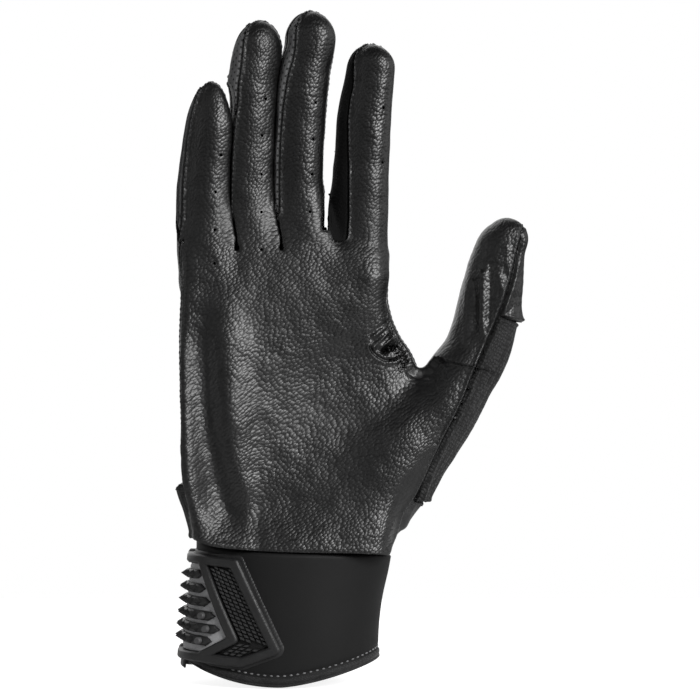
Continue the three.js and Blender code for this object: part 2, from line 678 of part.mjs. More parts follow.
function makeTab() {
  const group = new THREE.Group();
  const hookLift = CLOSURE_LIFT + HOOK_WALL + LAYER;
  const tabLift = hookLift + HOOK_WALL + LAYER;
  const gripShare = 0.4;
  const wave = (c) => Math.sin((Math.PI * TAB.grips * c) / gripShare) ** 2;
  const relief = (r, c) => TAB.wall + (c < gripShare ? TAB.grip * wave(c) : 0);
  const tab = cuffLayer(2, TAB.grips * 5, tabLift, relief, tabSpot(0));
  const hook = cuffLayer(2, 14, hookLift, HOOK_WALL, tabSpot(HOOK_MARGIN));
  // The tab turns about the outer edge of its root, an upright line.
  const axis = cuffPoint((TAB.low + CUFF_TOP - TAB.drop) / 2, cuffAngle(TAB.from), tabLift + TAB.wall);
  for (const geometry of [tab, hook]) geometry.translate(-axis.x, -axis.y, -axis.z);
  group.add(named("closure_tab", tab, rubber));
  group.add(named("closure_hook_patch", hook, hookAndLoop));
  group.position.copy(axis);
  group.name = "closure_hinge";
  return group;
}

function makeClosure() {
  const group = new THREE.Group();
  group.add(named("closure_frame", closureFrame(), rubber));
  group.add(named("closure_knurl_inset", knurlInset(), rubber));
  group.add(named("closure_rib_bed", ribBed(), greyRubber));
  for (let i = 0; i < RIB_COUNT; i++) {
    group.add(named(`closure_rib_${i + 1}`, rib(i), rubber));
  }
  const loop = cuffLayer(2, 14, CLOSURE_LIFT, HOOK_WALL, tabSpot(HOOK_MARGIN / 2));
  group.add(named("closure_loop_patch", loop, hookAndLoop));
  group.add(makeTab());
  return group;
}

// The whole glove
const glove = new THREE.Group();
glove.add(makeHand());
glove.add(makeCuff());
glove.add(makeClosure());
const centres = fingerCentres();
FINGERS.forEach((finger, i) => {
  const group = makeFinger(finger, FINGER_TWIST, FINGER_BEND, fabric);
  group.position.set(centres[i], finger.front, KNUCKLE_HEIGHT);
  glove.add(group);
});
const thumb = makeFinger(THUMB, THUMB_TWIST, THUMB_BEND, leather);
thumb.position.set(THUMB_BASE.x, THUMB.front, THUMB_BASE.z);
glove.add(thumb);

export default glove;
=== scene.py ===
"""A right-hand batting glove, dressed in leather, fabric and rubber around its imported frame.

Lengths in this script are millimetres in the frame of the part: the palm faces -Y, the fingers
point to +Z and the thumb lies at +X. MM turns them into Blender's metres when a mesh is made.
"""

import json
import math

import bpy
import numpy as np
import openvdb
from mathutils import Vector
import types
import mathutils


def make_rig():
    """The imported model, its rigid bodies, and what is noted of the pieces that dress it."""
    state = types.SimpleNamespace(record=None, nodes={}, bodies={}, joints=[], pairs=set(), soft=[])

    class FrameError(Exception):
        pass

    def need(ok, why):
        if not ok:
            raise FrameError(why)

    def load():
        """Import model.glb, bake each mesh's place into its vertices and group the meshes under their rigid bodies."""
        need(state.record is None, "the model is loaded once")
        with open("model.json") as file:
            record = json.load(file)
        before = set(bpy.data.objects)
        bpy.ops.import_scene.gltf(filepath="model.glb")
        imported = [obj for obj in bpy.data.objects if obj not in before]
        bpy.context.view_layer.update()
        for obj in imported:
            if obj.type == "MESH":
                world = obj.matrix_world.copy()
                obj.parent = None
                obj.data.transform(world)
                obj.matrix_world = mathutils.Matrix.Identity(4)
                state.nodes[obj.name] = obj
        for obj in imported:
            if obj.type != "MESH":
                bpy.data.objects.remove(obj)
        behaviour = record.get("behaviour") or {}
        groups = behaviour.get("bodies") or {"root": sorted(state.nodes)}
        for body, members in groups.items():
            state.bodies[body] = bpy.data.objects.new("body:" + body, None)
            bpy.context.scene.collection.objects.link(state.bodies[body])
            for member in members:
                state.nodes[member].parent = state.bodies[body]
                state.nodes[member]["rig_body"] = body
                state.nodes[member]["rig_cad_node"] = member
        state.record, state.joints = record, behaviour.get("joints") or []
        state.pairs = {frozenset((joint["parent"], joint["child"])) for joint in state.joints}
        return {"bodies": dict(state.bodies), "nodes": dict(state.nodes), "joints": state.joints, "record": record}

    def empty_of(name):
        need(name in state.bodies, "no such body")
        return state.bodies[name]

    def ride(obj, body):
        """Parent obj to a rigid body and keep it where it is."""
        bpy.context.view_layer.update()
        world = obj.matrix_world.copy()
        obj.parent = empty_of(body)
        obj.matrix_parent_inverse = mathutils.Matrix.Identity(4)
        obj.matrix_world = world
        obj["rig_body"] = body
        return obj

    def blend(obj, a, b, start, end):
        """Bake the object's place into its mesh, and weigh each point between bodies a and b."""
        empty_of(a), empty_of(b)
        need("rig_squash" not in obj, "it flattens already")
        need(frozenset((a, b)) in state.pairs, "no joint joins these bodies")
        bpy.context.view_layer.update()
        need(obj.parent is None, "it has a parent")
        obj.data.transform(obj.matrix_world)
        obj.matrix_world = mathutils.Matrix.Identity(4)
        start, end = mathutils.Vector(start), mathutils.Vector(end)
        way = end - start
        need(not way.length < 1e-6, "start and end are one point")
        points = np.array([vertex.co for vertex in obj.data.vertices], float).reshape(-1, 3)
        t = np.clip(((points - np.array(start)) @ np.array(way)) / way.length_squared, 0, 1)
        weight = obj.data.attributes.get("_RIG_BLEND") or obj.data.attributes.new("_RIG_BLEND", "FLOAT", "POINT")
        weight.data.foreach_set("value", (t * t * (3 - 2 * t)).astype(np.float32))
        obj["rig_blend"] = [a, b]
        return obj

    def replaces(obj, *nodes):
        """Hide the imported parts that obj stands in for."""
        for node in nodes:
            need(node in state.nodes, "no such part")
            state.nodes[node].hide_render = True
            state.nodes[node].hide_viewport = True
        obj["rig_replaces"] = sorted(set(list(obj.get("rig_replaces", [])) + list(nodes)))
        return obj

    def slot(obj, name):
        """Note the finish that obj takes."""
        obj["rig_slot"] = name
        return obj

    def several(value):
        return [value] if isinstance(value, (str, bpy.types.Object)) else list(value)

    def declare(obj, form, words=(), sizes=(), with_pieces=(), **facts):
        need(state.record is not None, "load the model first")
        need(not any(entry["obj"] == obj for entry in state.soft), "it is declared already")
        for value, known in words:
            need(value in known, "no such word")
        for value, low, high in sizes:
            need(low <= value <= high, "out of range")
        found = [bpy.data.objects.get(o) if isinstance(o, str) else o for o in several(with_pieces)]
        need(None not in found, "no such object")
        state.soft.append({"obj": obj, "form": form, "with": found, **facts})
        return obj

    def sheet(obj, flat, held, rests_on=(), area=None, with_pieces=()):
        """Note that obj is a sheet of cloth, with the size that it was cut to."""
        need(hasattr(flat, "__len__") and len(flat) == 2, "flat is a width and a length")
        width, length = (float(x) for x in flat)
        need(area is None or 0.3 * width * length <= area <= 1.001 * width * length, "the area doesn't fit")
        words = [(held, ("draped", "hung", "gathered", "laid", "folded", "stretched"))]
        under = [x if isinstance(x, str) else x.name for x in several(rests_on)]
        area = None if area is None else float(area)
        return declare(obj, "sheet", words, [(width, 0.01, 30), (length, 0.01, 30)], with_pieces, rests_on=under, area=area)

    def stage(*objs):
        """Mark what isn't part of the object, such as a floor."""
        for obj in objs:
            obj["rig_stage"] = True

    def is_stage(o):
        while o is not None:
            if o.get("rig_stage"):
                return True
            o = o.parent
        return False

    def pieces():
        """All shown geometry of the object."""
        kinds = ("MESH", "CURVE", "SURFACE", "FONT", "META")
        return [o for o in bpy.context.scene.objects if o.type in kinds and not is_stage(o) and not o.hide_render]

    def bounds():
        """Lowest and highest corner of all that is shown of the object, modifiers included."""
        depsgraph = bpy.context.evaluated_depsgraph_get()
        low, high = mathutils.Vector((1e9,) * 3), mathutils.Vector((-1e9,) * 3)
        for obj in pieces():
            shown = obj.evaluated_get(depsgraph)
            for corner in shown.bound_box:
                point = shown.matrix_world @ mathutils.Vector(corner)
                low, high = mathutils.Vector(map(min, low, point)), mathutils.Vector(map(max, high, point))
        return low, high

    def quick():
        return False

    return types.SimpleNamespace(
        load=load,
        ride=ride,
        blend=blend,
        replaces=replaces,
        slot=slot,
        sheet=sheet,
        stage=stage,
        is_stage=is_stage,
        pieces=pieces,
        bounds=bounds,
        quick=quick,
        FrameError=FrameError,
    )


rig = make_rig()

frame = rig.load()
cad_low, cad_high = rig.bounds()

MM = 0.001
VOXEL = 1.1 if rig.quick() else 0.75  # fineness of the skin

# Walls of the sewn panels
LEATHER = 1.2
FABRIC = 1.1
NEOPRENE = 2.4

# The hand's outline by height: its two edges without the thumb, and its depth in front and behind
LEFT_EDGE = [
    (36, -31.6), (47, -31), (60, -33.2), (75, -35), (100, -36), (120, -36.3), (136, -35.8), (160, -35.6),
]
RIGHT_EDGE = [
    (36, 36.6), (47, 36.8), (60, 39.5), (80, 44.5), (100, 47), (109, 47), (116, 44.6), (123, 40),
    (134, 36.4), (160, 34.6),
]
PALM_DEPTH = [
    (36, 23.6), (47, 24.0), (60, 23.0), (74, 22.4), (102, 20.4), (130, 16.5), (150, 12.6), (160, 11),
]
BACK_DEPTH = [(36, 23.4), (47, 23.8), (60, 22), (74, 19.4), (102, 16), (130, 12), (160, 8.2)]
SECTION_POWER = [(36, 2.3), (60, 2.5), (110, 3), (160, 3.8)]
OUTER_FULLNESS, INNER_FULLNESS = 15.0, 2.5  # how much squarer the palm is at its two edges
WRIST_FULLNESS = 5.0  # the same again at the wrist
PALM_LEAN = 3.6  # depth that the palm loses towards the thumb
# Where the palm ends under the outer and the inner fingers, and how far down that end is rounded
HAND_TOPS, TOP_ROUNDS = (170.0, 159.0), (20.0, 9.0)
MIDDLE_FILL, FILL_PLACE, FILL_WIDTH = 5.0, 11.0, 4.0  # how much higher it ends beside the middle finger

# Fingers: width and sideways bow along the finger by share of its length, length, length of the rounded
# tip, the angles of the front panel's edges, where 0 faces the palm and 90 the thumb's side, the left one
# at the knuckle and past the middle, the angles that the side strips take, the heights between which the
# strips open at the root, and the lean, which is how much the front is turned towards the little finger
FINGERS = {
    "pinky": {
        "widths": [
            (-0.22, 19.4), (0, 20.2), (0.18, 18.9), (0.42, 17.6), (0.7, 16.2), (0.85, 14.4), (1, 12.6),
        ],
        "bow": [(-0.22, 2.4), (0, 0.9), (0.2, 0.5), (0.42, 0.3), (0.7, 1.1), (0.85, 1.4), (1, 1.4)],
        "length": 55.3, "tip": 15.5, "lean": 0.2,
        "left": (-62, -67), "right": 104, "strips": (27, 32), "fork": (-2, 9),
    },
    "ring": {
        "widths": [(0, 17.4), (0.13, 17.7), (0.34, 17.7), (0.57, 18), (0.75, 17.6), (0.86, 17), (1, 15.6)],
        "bow": [
            (0, 0), (0.13, -1.6), (0.34, -2.3), (0.57, -2.4), (0.7, -2.7), (0.8, -1.9),
            (0.9, -0.8), (1, -0.2),
        ],
        "length": 76.6, "tip": 11, "lean": 0.0,
        "left": (-47, -34), "right": 104, "strips": (58, 32), "fork": (-2, 9),
    },
    "middle": {
        "widths": [
            (0, 17.4), (0.1, 18.4), (0.33, 19.6), (0.6, 19.8), (0.72, 19.2), (0.82, 18.5),
            (0.9, 17.9), (1, 16.4),
        ],
        "bow": [
            (0, -2.3), (0.1, -3.2), (0.33, -4), (0.6, -3.5), (0.72, -2.4), (0.82, -0.7),
            (0.9, -0.1), (1, -0.1),
        ],
        "length": 80.3, "tip": 10, "lean": 0.2,
        "left": (-41, -34), "right": 104, "strips": (60, 32), "fork": (-2, 9),
    },
    "index": {
        "widths": [(0, 21.6), (0.18, 21.2), (0.38, 20), (0.63, 19), (0.72, 18.3), (0.84, 17.4), (1, 16)],
        "bow": [
            (0, -0.7), (0.18, -0.8), (0.38, -0.8), (0.63, -0.7), (0.72, -0.3), (0.8, 0.3),
            (0.86, 0.5), (1, 0.4),
        ],
        "length": 68.6, "tip": 9, "lean": 0.28,
        "left": (-27, -50), "right": 112, "strips": (72, 0), "fork": (-3, -1),
    },
}
FLATNESS = 0.88  # depth of a finger over its width
CURL = 4.0  # how far a fingertip comes forward
FINGER_POWER = 2.1
TIP_POWER = 2.2  # of a fingertip's roundness
FINGER_ROOT, ROOT_ROUND = 14.0, 10.0  # how far a finger reaches into the hand, and its round end's length
STRIP_ROOT, STRIP_SPLIT = 93.0, 30.0  # angle from which strips wider than the second value open at the root
FINGER_UNION = 5.0  # how softly the fingers leave the palm
FINGER_NEAR = 5.0  # distance from a finger within which a point may lie on it
BLIND_ANGLE = 150.0  # beyond it lies the back of a finger, which has no seam
FINGER_GAP = 2.0  # between neighbouring fingers while they are formed
FINGER_TOUCH = 0.4  # between those that touch in the end, which are the first pairs
TOUCHING, CLOSING_REACH = 2, 4.0
LAPS, LAP_DEPTH = (0.25, 0.25, 0.0), -2.5  # how much a finger lies over the next, and where they meet halfway
ROOT_SEAM = -2.0  # height at which a finger parts from the hand
WEB_HEIGHTS = (152.5, 152.5, 159.5)  # lower ends of the gaps between the fingers

# Thumb and its ball: middle line and radius
THUMB_LINE = [
    (25, -3.5, 50, 10), (36.4, -5, 68, 12.8), (51, -6.2, 90.7, 14.1), (60.4, -7.2, 105, 12.5),
    (68.4, -5.4, 118, 11.5), (72.5, -5.8, 135, 11.1), (75.6, -7.2, 151, 9.1), (78.4, -8.4, 156.4, 7.4),
]
THUMB_LENGTH = 53.2
THUMB_LEAN = 0.22  # how much its palm side faces the fingers
# How softly the ball leaves the palm, by height
BALL_UNION = [(50, 5), (62, 8), (76, 14), (90, 15), (102, 8), (112, 4), (120, 1.5)]
THUMB_SEAM = [  # of the outer seam: height and place across
    (40, 36.5), (44, 37.3), (53.7, 40.9), (58.7, 42.7), (66, 47.3), (76, 51.9), (84.3, 55.8), (100.3, 63.7),
    (112.7, 68.3), (129.4, 75.4), (139.4, 78.9), (155.4, 82.9), (160.7, 84.3), (165, 92),
]
ULNAR_SEAM = [  # depth of the seam at the little finger's edge, by height
    (40, -6), (47, -8), (60, -11), (72, -13), (85, -14.5), (100, -14.5), (120, -13), (140, -11),
    (157, -9.6),
]
KNUCKLE_SEAM = [  # depth of the seam across the finger roots, by place
    (-37, -9), (-33, -7), (-29, -3), (-20, -2.6), (-2, -1.8), (17, -1.3), (26, -1), (32, 1.2), (37, 3.2),
]
RADIAL_SEAM = 2.0

# Hem of the palm, by place across
PALM_HEM = [(-36, 52.4), (-31, 51), (-26, 49.4), (-14, 47.9), (5, 47), (28, 46.5), (35, 46), (40, 44.8)]

SEAM_DEPTH = 0.75  # groove along a seam
SEAM_WIDTH = 0.55
SEAM_BEAD, SEAM_BEAD_AT = 0.5, 1.15  # rounded edge beside it, and its distance
PIPED_BEAD = 1.0  # the same at the little finger's outer seam
SLIT = 0.14  # half the gap between two sewn edges
SNAP = 0.12  # share of a voxel within which a point moves onto a cut


# Numbers

def lerp(a, b, t):
    return a + (b - a) * t


def smoothstep(x, low, high):
    t = np.clip((x - low) / (high - low), 0, 1)
    return t * t * (3 - 2 * t)


def profile(knots, at):
    """A smooth curve through (place, value) knots, level beyond its ends."""
    x, y = np.array(knots, float).T
    slope = np.gradient(y, x)
    at = np.clip(at, x[0], x[-1])
    i = np.clip(np.searchsorted(x, at) - 1, 0, len(x) - 2)
    h = x[i + 1] - x[i]
    t = (at - x[i]) / h
    low = (2 * t**3 - 3 * t**2 + 1) * y[i] + (t**3 - 2 * t**2 + t) * h * slope[i]
    return low + (3 * t**2 - 2 * t**3) * y[i + 1] + (t**3 - t**2) * h * slope[i + 1]


def unit(vectors):
    length = np.linalg.norm(vectors, axis=-1, keepdims=True)
    return vectors / np.maximum(length, 1e-12)


def bell(x, width):
    return np.exp(-((x / width) ** 2))


def segment_distance(u, v, a, b):
    a, b = np.array(a, float), np.array(b, float)
    d = b - a
    t = np.clip(((u - a[0]) * d[0] + (v - a[1]) * d[1]) / (d @ d), 0, 1)
    return np.hypot(u - a[0] - t * d[0], v - a[1] - t * d[1])


def line_distance(u, v, corners):
    return np.minimum.reduce([segment_distance(u, v, a, b) for a, b in zip(corners[:-1], corners[1:])])


def polygon_distance(u, v, corners):
    """Distance from a polygon's outline, negative inside."""
    inside = np.zeros(np.shape(u), bool)
    for a, b in zip(corners, [*corners[1:], corners[0]]):
        if a[1] != b[1]:
            at = a[0] + (v - a[1]) * (b[0] - a[0]) / (b[1] - a[1])
            inside ^= ((a[1] > v) != (b[1] > v)) & (u < at)
    away = line_distance(u, v, [*corners, corners[0]])
    return np.where(inside, -away, away)


# Triangle meshes, as points and corner numbers

def edges_of(triangles):
    """The unique edges, and the edge on each side of each triangle."""
    pairs = np.sort(triangles[:, [0, 1, 1, 2, 2, 0]].reshape(-1, 2), axis=1)
    key = pairs[:, 0].astype(np.int64) * (int(triangles.max()) + 1) + pairs[:, 1]
    _, first, inverse = np.unique(key, return_index=True, return_inverse=True)
    return pairs[first], inverse.reshape(-1, 3)


def with_points_on(points, triangles, edges, edge_of, marked, share):
    """The mesh with a new point on each marked edge, at its share of the way."""
    number = np.full(len(edges), -1)
    number[marked] = len(points) + np.arange(marked.sum())
    start, end = edges[marked].T
    points = np.vstack([points, lerp(points[start], points[end], share[marked, None])])
    on = number[edge_of]
    count = (on >= 0).sum(1)
    made = [triangles[count == 0]]
    for k in range(3):
        one = (count == 1) & (on[:, k] >= 0)
        v, m = np.roll(triangles[one], -k, axis=1).T, on[one, k]
        made += [np.stack([v[0], m, v[2]], 1), np.stack([m, v[1], v[2]], 1)]
        two = (count == 2) & (on[:, k] < 0)
        v, m = np.roll(triangles[two], -k - 1, axis=1).T, np.roll(on[two], -k - 1, axis=1).T
        corners = ((v[1], m[1], m[0]), (v[0], m[0], m[1]), (v[0], m[1], v[2]))
        made += [np.stack(corner, 1) for corner in corners]
    v, m = triangles[count == 3].T, on[count == 3].T
    made += [np.stack([v[k], m[k], m[k - 1]], 1) for k in range(3)] + [np.stack([m[0], m[1], m[2]], 1)]
    return points, np.vstack(made)


def cut(points, triangles, values):
    """The mesh with points where the values cross zero, so that no triangle crosses."""
    values = np.where(np.abs(values) < SNAP * VOXEL, 0, values)
    edges, edge_of = edges_of(triangles)
    a, b = values[edges[:, 0]], values[edges[:, 1]]
    marked = a * b < 0
    share = np.where(marked, a / np.where(marked, a - b, 1), 0)
    return with_points_on(points, triangles, edges, edge_of, marked, share)


def refined(points, triangles, near):
    """The mesh with the edges between two chosen points halved."""
    edges, edge_of = edges_of(triangles)
    marked = near[edges].all(1)
    return with_points_on(points, triangles, edges, edge_of, marked, np.full(len(edges), 0.5))


def normals_of(points, triangles):
    a, b, c = (points[triangles[:, k]] for k in range(3))
    face = np.cross(b - a, c - a)
    total = np.zeros_like(points)
    for k in range(3):
        np.add.at(total, triangles[:, k], face)
    return unit(total)


def neighbour_mean(points, triangles):
    edges, _ = edges_of(triangles)
    total, count = np.zeros_like(points), np.zeros(len(points))
    for a, b in (edges.T, edges.T[::-1]):
        np.add.at(total, a, points[b])
        np.add.at(count, a, 1)
    return total / np.maximum(count, 1)[:, None]


# The form of the hand

class Finger:
    """A finger's own frame: the origin is on the palm side at the knuckle and Z runs to the tip."""

    def __init__(self, name, shape):
        joints = {joint["name"]: joint for joint in frame["joints"]}
        knuckle, middle = joints[name + "_knuckle_bend"], joints[name + "_middle_bend"]
        self.name = name
        self.origin = np.array(knuckle["pos_m"]) / MM
        axis = knuckle["axis"]
        self.across = np.array(axis, float)
        self.along = np.array([-axis[2], 0, axis[0]], float)
        self.bend = float((np.array(middle["pos_m"]) / MM - self.origin) @ self.along)
        self.shape = shape

    def local(self, x, y, z):
        dx, dz = x - self.origin[0], z - self.origin[2]
        across = dx * self.across[0] + dz * self.across[2]
        along = dx * self.along[0] + dz * self.along[2]
        return across, y - self.origin[1], along

    def place(self, across, depth, along):
        """A point of the finger's frame in the part's frame."""
        return self.origin + self.across * across + np.array([0, depth, 0]) + self.along * along


class TubeFinger(Finger):
    def section(self, along):
        """Half width and half depth, and the middle across and in depth, at a height."""
        shape = self.shape
        share = np.clip(along / shape["length"], -1, 1)
        half = profile(shape["widths"], share) / 2
        root = shape["widths"][0][1] / 2 * FLATNESS
        return half, half * FLATNESS, profile(shape["bow"], share), root - CURL * np.maximum(0, share) ** 2

    def distance(self, x, y, z):
        across, depth, along = self.local(x, y, z)
        half, thick, middle, centre = self.section(along)
        depth = depth + self.shape["lean"] * (across - middle)
        power = FINGER_POWER
        ring = np.abs((across - middle) / half) ** power + np.abs((depth - centre) / thick) ** power
        below = np.maximum(0, (-along - FINGER_ROOT) / ROOT_ROUND)
        return (np.sqrt(ring ** (2 / power) + self.into_tip(along) ** TIP_POWER + below**2) - 1) * half

    def into_tip(self, along):
        """How far a height lies within the rounded tip, where 1 is its end."""
        tip = self.shape["tip"]
        return np.maximum(0, (along - self.shape["length"] + tip) / tip)

    def edge(self, z, side):
        """Place across of the finger's side at a height of the part, drawn in round the tip and past it."""
        along = (z - self.origin[2]) / self.along[2]
        half, _, middle, _ = self.section(along)
        into = self.into_tip(along)
        past = 2 * self.shape["tip"] * np.maximum(0, into - 1)
        half = half * np.sqrt(np.maximum(0, 1 - into**TIP_POWER)) - past
        return self.origin[0] + self.across[0] * (middle + side * half) + self.along[0] * along

    def angle(self, points):
        across, depth, along = self.local(*points.T)
        _, _, middle, centre = self.section(along)
        return np.degrees(np.arctan2(across - middle, centre - depth))

    def edge_angles(self, along):
        """Angles of the front panel's edges and of the back panel's edges, at a height."""
        fork = smoothstep(along, *self.shape["fork"])
        share = along / self.shape["length"]
        tip = smoothstep(share, 0.75, 1)
        left = lerp(*self.shape["left"], smoothstep(share, 0.1, 0.75))
        rows = []
        for sign, edge, strip in zip((-1, 1), (left, self.shape["right"]), self.shape["strips"]):
            wide = strip * fork * (1 - 0.6 * tip)
            root = sign * STRIP_ROOT if strip > STRIP_SPLIT else edge
            front = lerp(root, edge, fork) + sign * strip * 0.25 * tip
            rows.append((front, front + sign * wide))
        return rows


fingers = [TubeFinger(name, shape) for name, shape in FINGERS.items()]


def meeting(number, y, z):
    """Place across at which a finger meets the next one."""
    one, other = fingers[number], fingers[number + 1]
    return (one.edge(z, 1) + other.edge(z, -1)) / 2 + LAPS[number] * (LAP_DEPTH - y)


thumb = Finger("thumb", {"length": THUMB_LENGTH})
THUMB_LEDGE = thumb.bend - 1.0  # where the cap on the back of the thumb ends


def hand_distance(x, y, z):
    left, right = profile(LEFT_EDGE, z), profile(RIGHT_EDGE, z)
    front = smoothstep(-y, 0, 5)
    power = profile(SECTION_POWER, z) + OUTER_FULLNESS * smoothstep(-x, 8, 30) * front
    inner_edge = INNER_FULLNESS + WRIST_FULLNESS * smoothstep(80 - z, 0, 25)
    power = power + inner_edge * smoothstep(x, 4, 24) * front
    lean = PALM_LEAN * smoothstep(x, -26, 28) * smoothstep(z, 62, 96) * smoothstep(150 - z, 0, 40)
    depth = np.where(y < 0, profile(PALM_DEPTH, z) - lean, profile(BACK_DEPTH, z))
    u = np.abs((x - (left + right) / 2) / ((right - left) / 2))
    ring = (u**power + np.abs(y / depth) ** power) ** (2 / power)
    inner = smoothstep(x, 14, 20)
    reach = lerp(*TOP_ROUNDS, inner)
    fill = MIDDLE_FILL * bell(x - FILL_PLACE, FILL_WIDTH)
    top = np.maximum(0, (z - lerp(*HAND_TOPS, inner) - fill + reach) / reach)
    return (np.sqrt(ring + top**2) - 1) * lerp(depth, (right - left) / 2, u**4 * 0.6)


def thumb_line():
    """The thumb's middle line and radius, as many short steps."""
    knots = np.array(THUMB_LINE, float)
    at = np.linspace(0, len(knots) - 1, 40)
    return np.stack([profile(list(enumerate(knots[:, k])), at) for k in range(4)], 1)


def thumb_distance(x, y, z):
    best = np.full(np.broadcast(x, y, z).shape, 40.0, np.float32)
    line = thumb_line()
    lean = THUMB_LEAN * smoothstep(z, 100, 118)
    for (ax, ay, az, ar), (bx, by, bz, br) in zip(line[:-1], line[1:]):
        d = np.array([bx - ax, by - ay, bz - az])
        t = np.clip(((x - ax) * d[0] + (y - ay) * d[1] + (z - az) * d[2]) / (d @ d), 0, 1)
        dx, dz = x - ax - t * d[0], z - az - t * d[2]
        dy = (y - ay - t * d[1] + lean * dx) / FLATNESS
        best = np.minimum(best, np.sqrt(dx * dx + dy * dy + dz * dz) - lerp(ar, br, t))
    return best


def smooth_min(a, b, reach):
    h = np.clip(0.5 + 0.5 * (b - a) / reach, 0, 1)
    return lerp(b, a, h) - reach * h * (1 - h)


SMOOTHING_ROUNDS, SMOOTHING = 6, 0.6  # of the skin's triangles, which stay on the form
GRID_LOW = np.array([-48.0, -36.0, 34.0])
GRID_HIGH = np.array([98.0, 30.0, 246.0])


def form_field():
    """The distance to the glove's surface on a grid, negative inside."""
    axes = [np.arange(GRID_LOW[k], GRID_HIGH[k], VOXEL, dtype=np.float32) for k in range(3)]
    x, y, z = np.meshgrid(*axes, indexing="ij", sparse=True)
    hand = hand_distance(x, y, z)
    ball = thumb_distance(x, y, z)
    field = smooth_min(hand, ball, profile(BALL_UNION, z))
    apart = [finger.distance(x, y, z) for finger in fingers]
    digits = np.minimum.reduce(apart)
    field = smooth_min(field, digits, FINGER_UNION)
    for number in range(len(fingers) - 1):
        slot = FINGER_GAP / 2 - np.abs(x - meeting(number, y, z))
        field = np.maximum(field, np.minimum(slot, (z - WEB_HEIGHTS[number]) / 2))
    return field.astype(np.float32)


def sampled(field, points):
    """The field's value at points, between its grid points."""
    at = (points - GRID_LOW) / VOXEL
    base = np.clip(np.floor(at).astype(int), 0, np.array(field.shape) - 2)
    t = at - base
    total = np.zeros(len(points))
    for i in (0, 1):
        for j in (0, 1):
            for k in (0, 1):
                weight = np.abs(1 - i - t[:, 0]) * np.abs(1 - j - t[:, 1]) * np.abs(1 - k - t[:, 2])
                total += weight * field[base[:, 0] + i, base[:, 1] + j, base[:, 2] + k]
    return total


def form_skin():
    """The glove's surface as an even triangle mesh."""
    field = form_field()
    grid = openvdb.FloatGrid(20.0)
    grid.copyFromArray(field, ijk=(0, 0, 0), tolerance=0.0)
    grid.transform = openvdb.createLinearTransform(voxelSize=VOXEL)
    points, quads = grid.convertToQuads(isovalue=0.0)
    points = points.astype(float) + GRID_LOW
    triangles = np.vstack([quads[:, [0, 1, 2]], quads[:, [0, 2, 3]]]).astype(np.int64)
    a, b, c = (points[triangles[:, k]] for k in range(3))
    if (a * np.cross(b, c)).sum() < 0:
        triangles = triangles[:, ::-1]
    for _ in range(SMOOTHING_ROUNDS):
        points = lerp(points, neighbour_mean(points, triangles), SMOOTHING)
        normals = normals_of(points, triangles)
        points = points - normals * np.clip(sampled(field, points), -0.5, 0.5)[:, None]
    return points, triangles


# Seams and panels on the skin

HAND, THUMB = -1, len(fingers)
FAR = 9.0  # stands for a distance from what isn't near
THUMB_CUT = -1.0  # height on the thumb at which it parts from the hand
THUMB_SIDE = (50, 95)  # place across and height past which a point may lie on the thumb
KNUCKLE_BLEND = 12.0  # height up to which a finger bends at its knuckle
MIDDLE_BLEND = 8.0  # reach of the bend on both sides of a middle joint
THUMB_BLEND = 9.5


def split_height(finger):
    """Height at which a finger's skin is parted, between its two bends."""
    first = THUMB_BLEND if finger is thumb else KNUCKLE_BLEND
    return (first + finger.bend - MIDDLE_BLEND) / 2


SPLITS = np.array([split_height(finger) for finger in [*fingers, thumb]])


def above_split(owner, along):
    """How far points lie above the split of the finger that holds them."""
    return along - SPLITS[np.maximum(owner, 0)]


def nearest_finger(points):
    """The finger beside each point, its height on that finger, and whether it lies on it."""
    x, y, z = points.T
    best = sum((x > meeting(number, y, z)).astype(int) for number in range(len(fingers) - 1))
    pick = (best, np.arange(len(points)))
    along = np.stack([finger.local(*points.T)[2] for finger in fingers])[pick]
    away = np.stack([finger.distance(*points.T) for finger in fingers])[pick]
    return best, along, away < FINGER_NEAR


def owner_of(points):
    """Which finger, thumb or hand holds each point, and its height there."""
    best, along, beside = nearest_finger(points)
    owner = np.where(beside & (along > ROOT_SEAM), best, HAND)
    thumb_along = thumb.local(*points.T)[2]
    on_thumb = on_thumb_side(points) & (thumb_along > THUMB_CUT)
    owner = np.where(on_thumb, THUMB, owner)
    return owner, np.where(on_thumb, thumb_along, along)


def on_thumb_side(points):
    return (points[:, 0] > THUMB_SIDE[0]) & (points[:, 2] > THUMB_SIDE[1])


def hand_seam(points):
    """Distance from the seam between palm and back on hand and thumb, negative on the palm."""
    x, y, z = points.T
    edge = lerp(profile(ULNAR_SEAM, z), RADIAL_SEAM, smoothstep(x, -20, 20))
    level = lerp(edge, profile(KNUCKLE_SEAM, x), smoothstep(z, 138, 152) * (x < 45))
    outer = (x - profile(THUMB_SEAM, z)) * 0.88
    return np.maximum(y - level, np.where((z > 150) & (x <= 60), -FAR, outer))


def finger_seams(finger, points):
    """Distances from the four edges of a finger's strips, positive towards the front."""
    _, _, along = finger.local(*points.T)
    angle = finger.angle(points)
    size = np.radians(finger.section(along)[0])
    (left, left_back), (right, right_back) = finger.edge_angles(along)
    turns = (angle - left, angle - left_back, right - angle, right_back - angle)
    return [np.where(np.abs(angle) > BLIND_ANGLE, 0, turn * size) for turn in turns], angle


def palm_hem(points):
    return points[:, 2] - profile(PALM_HEM, points[:, 0])


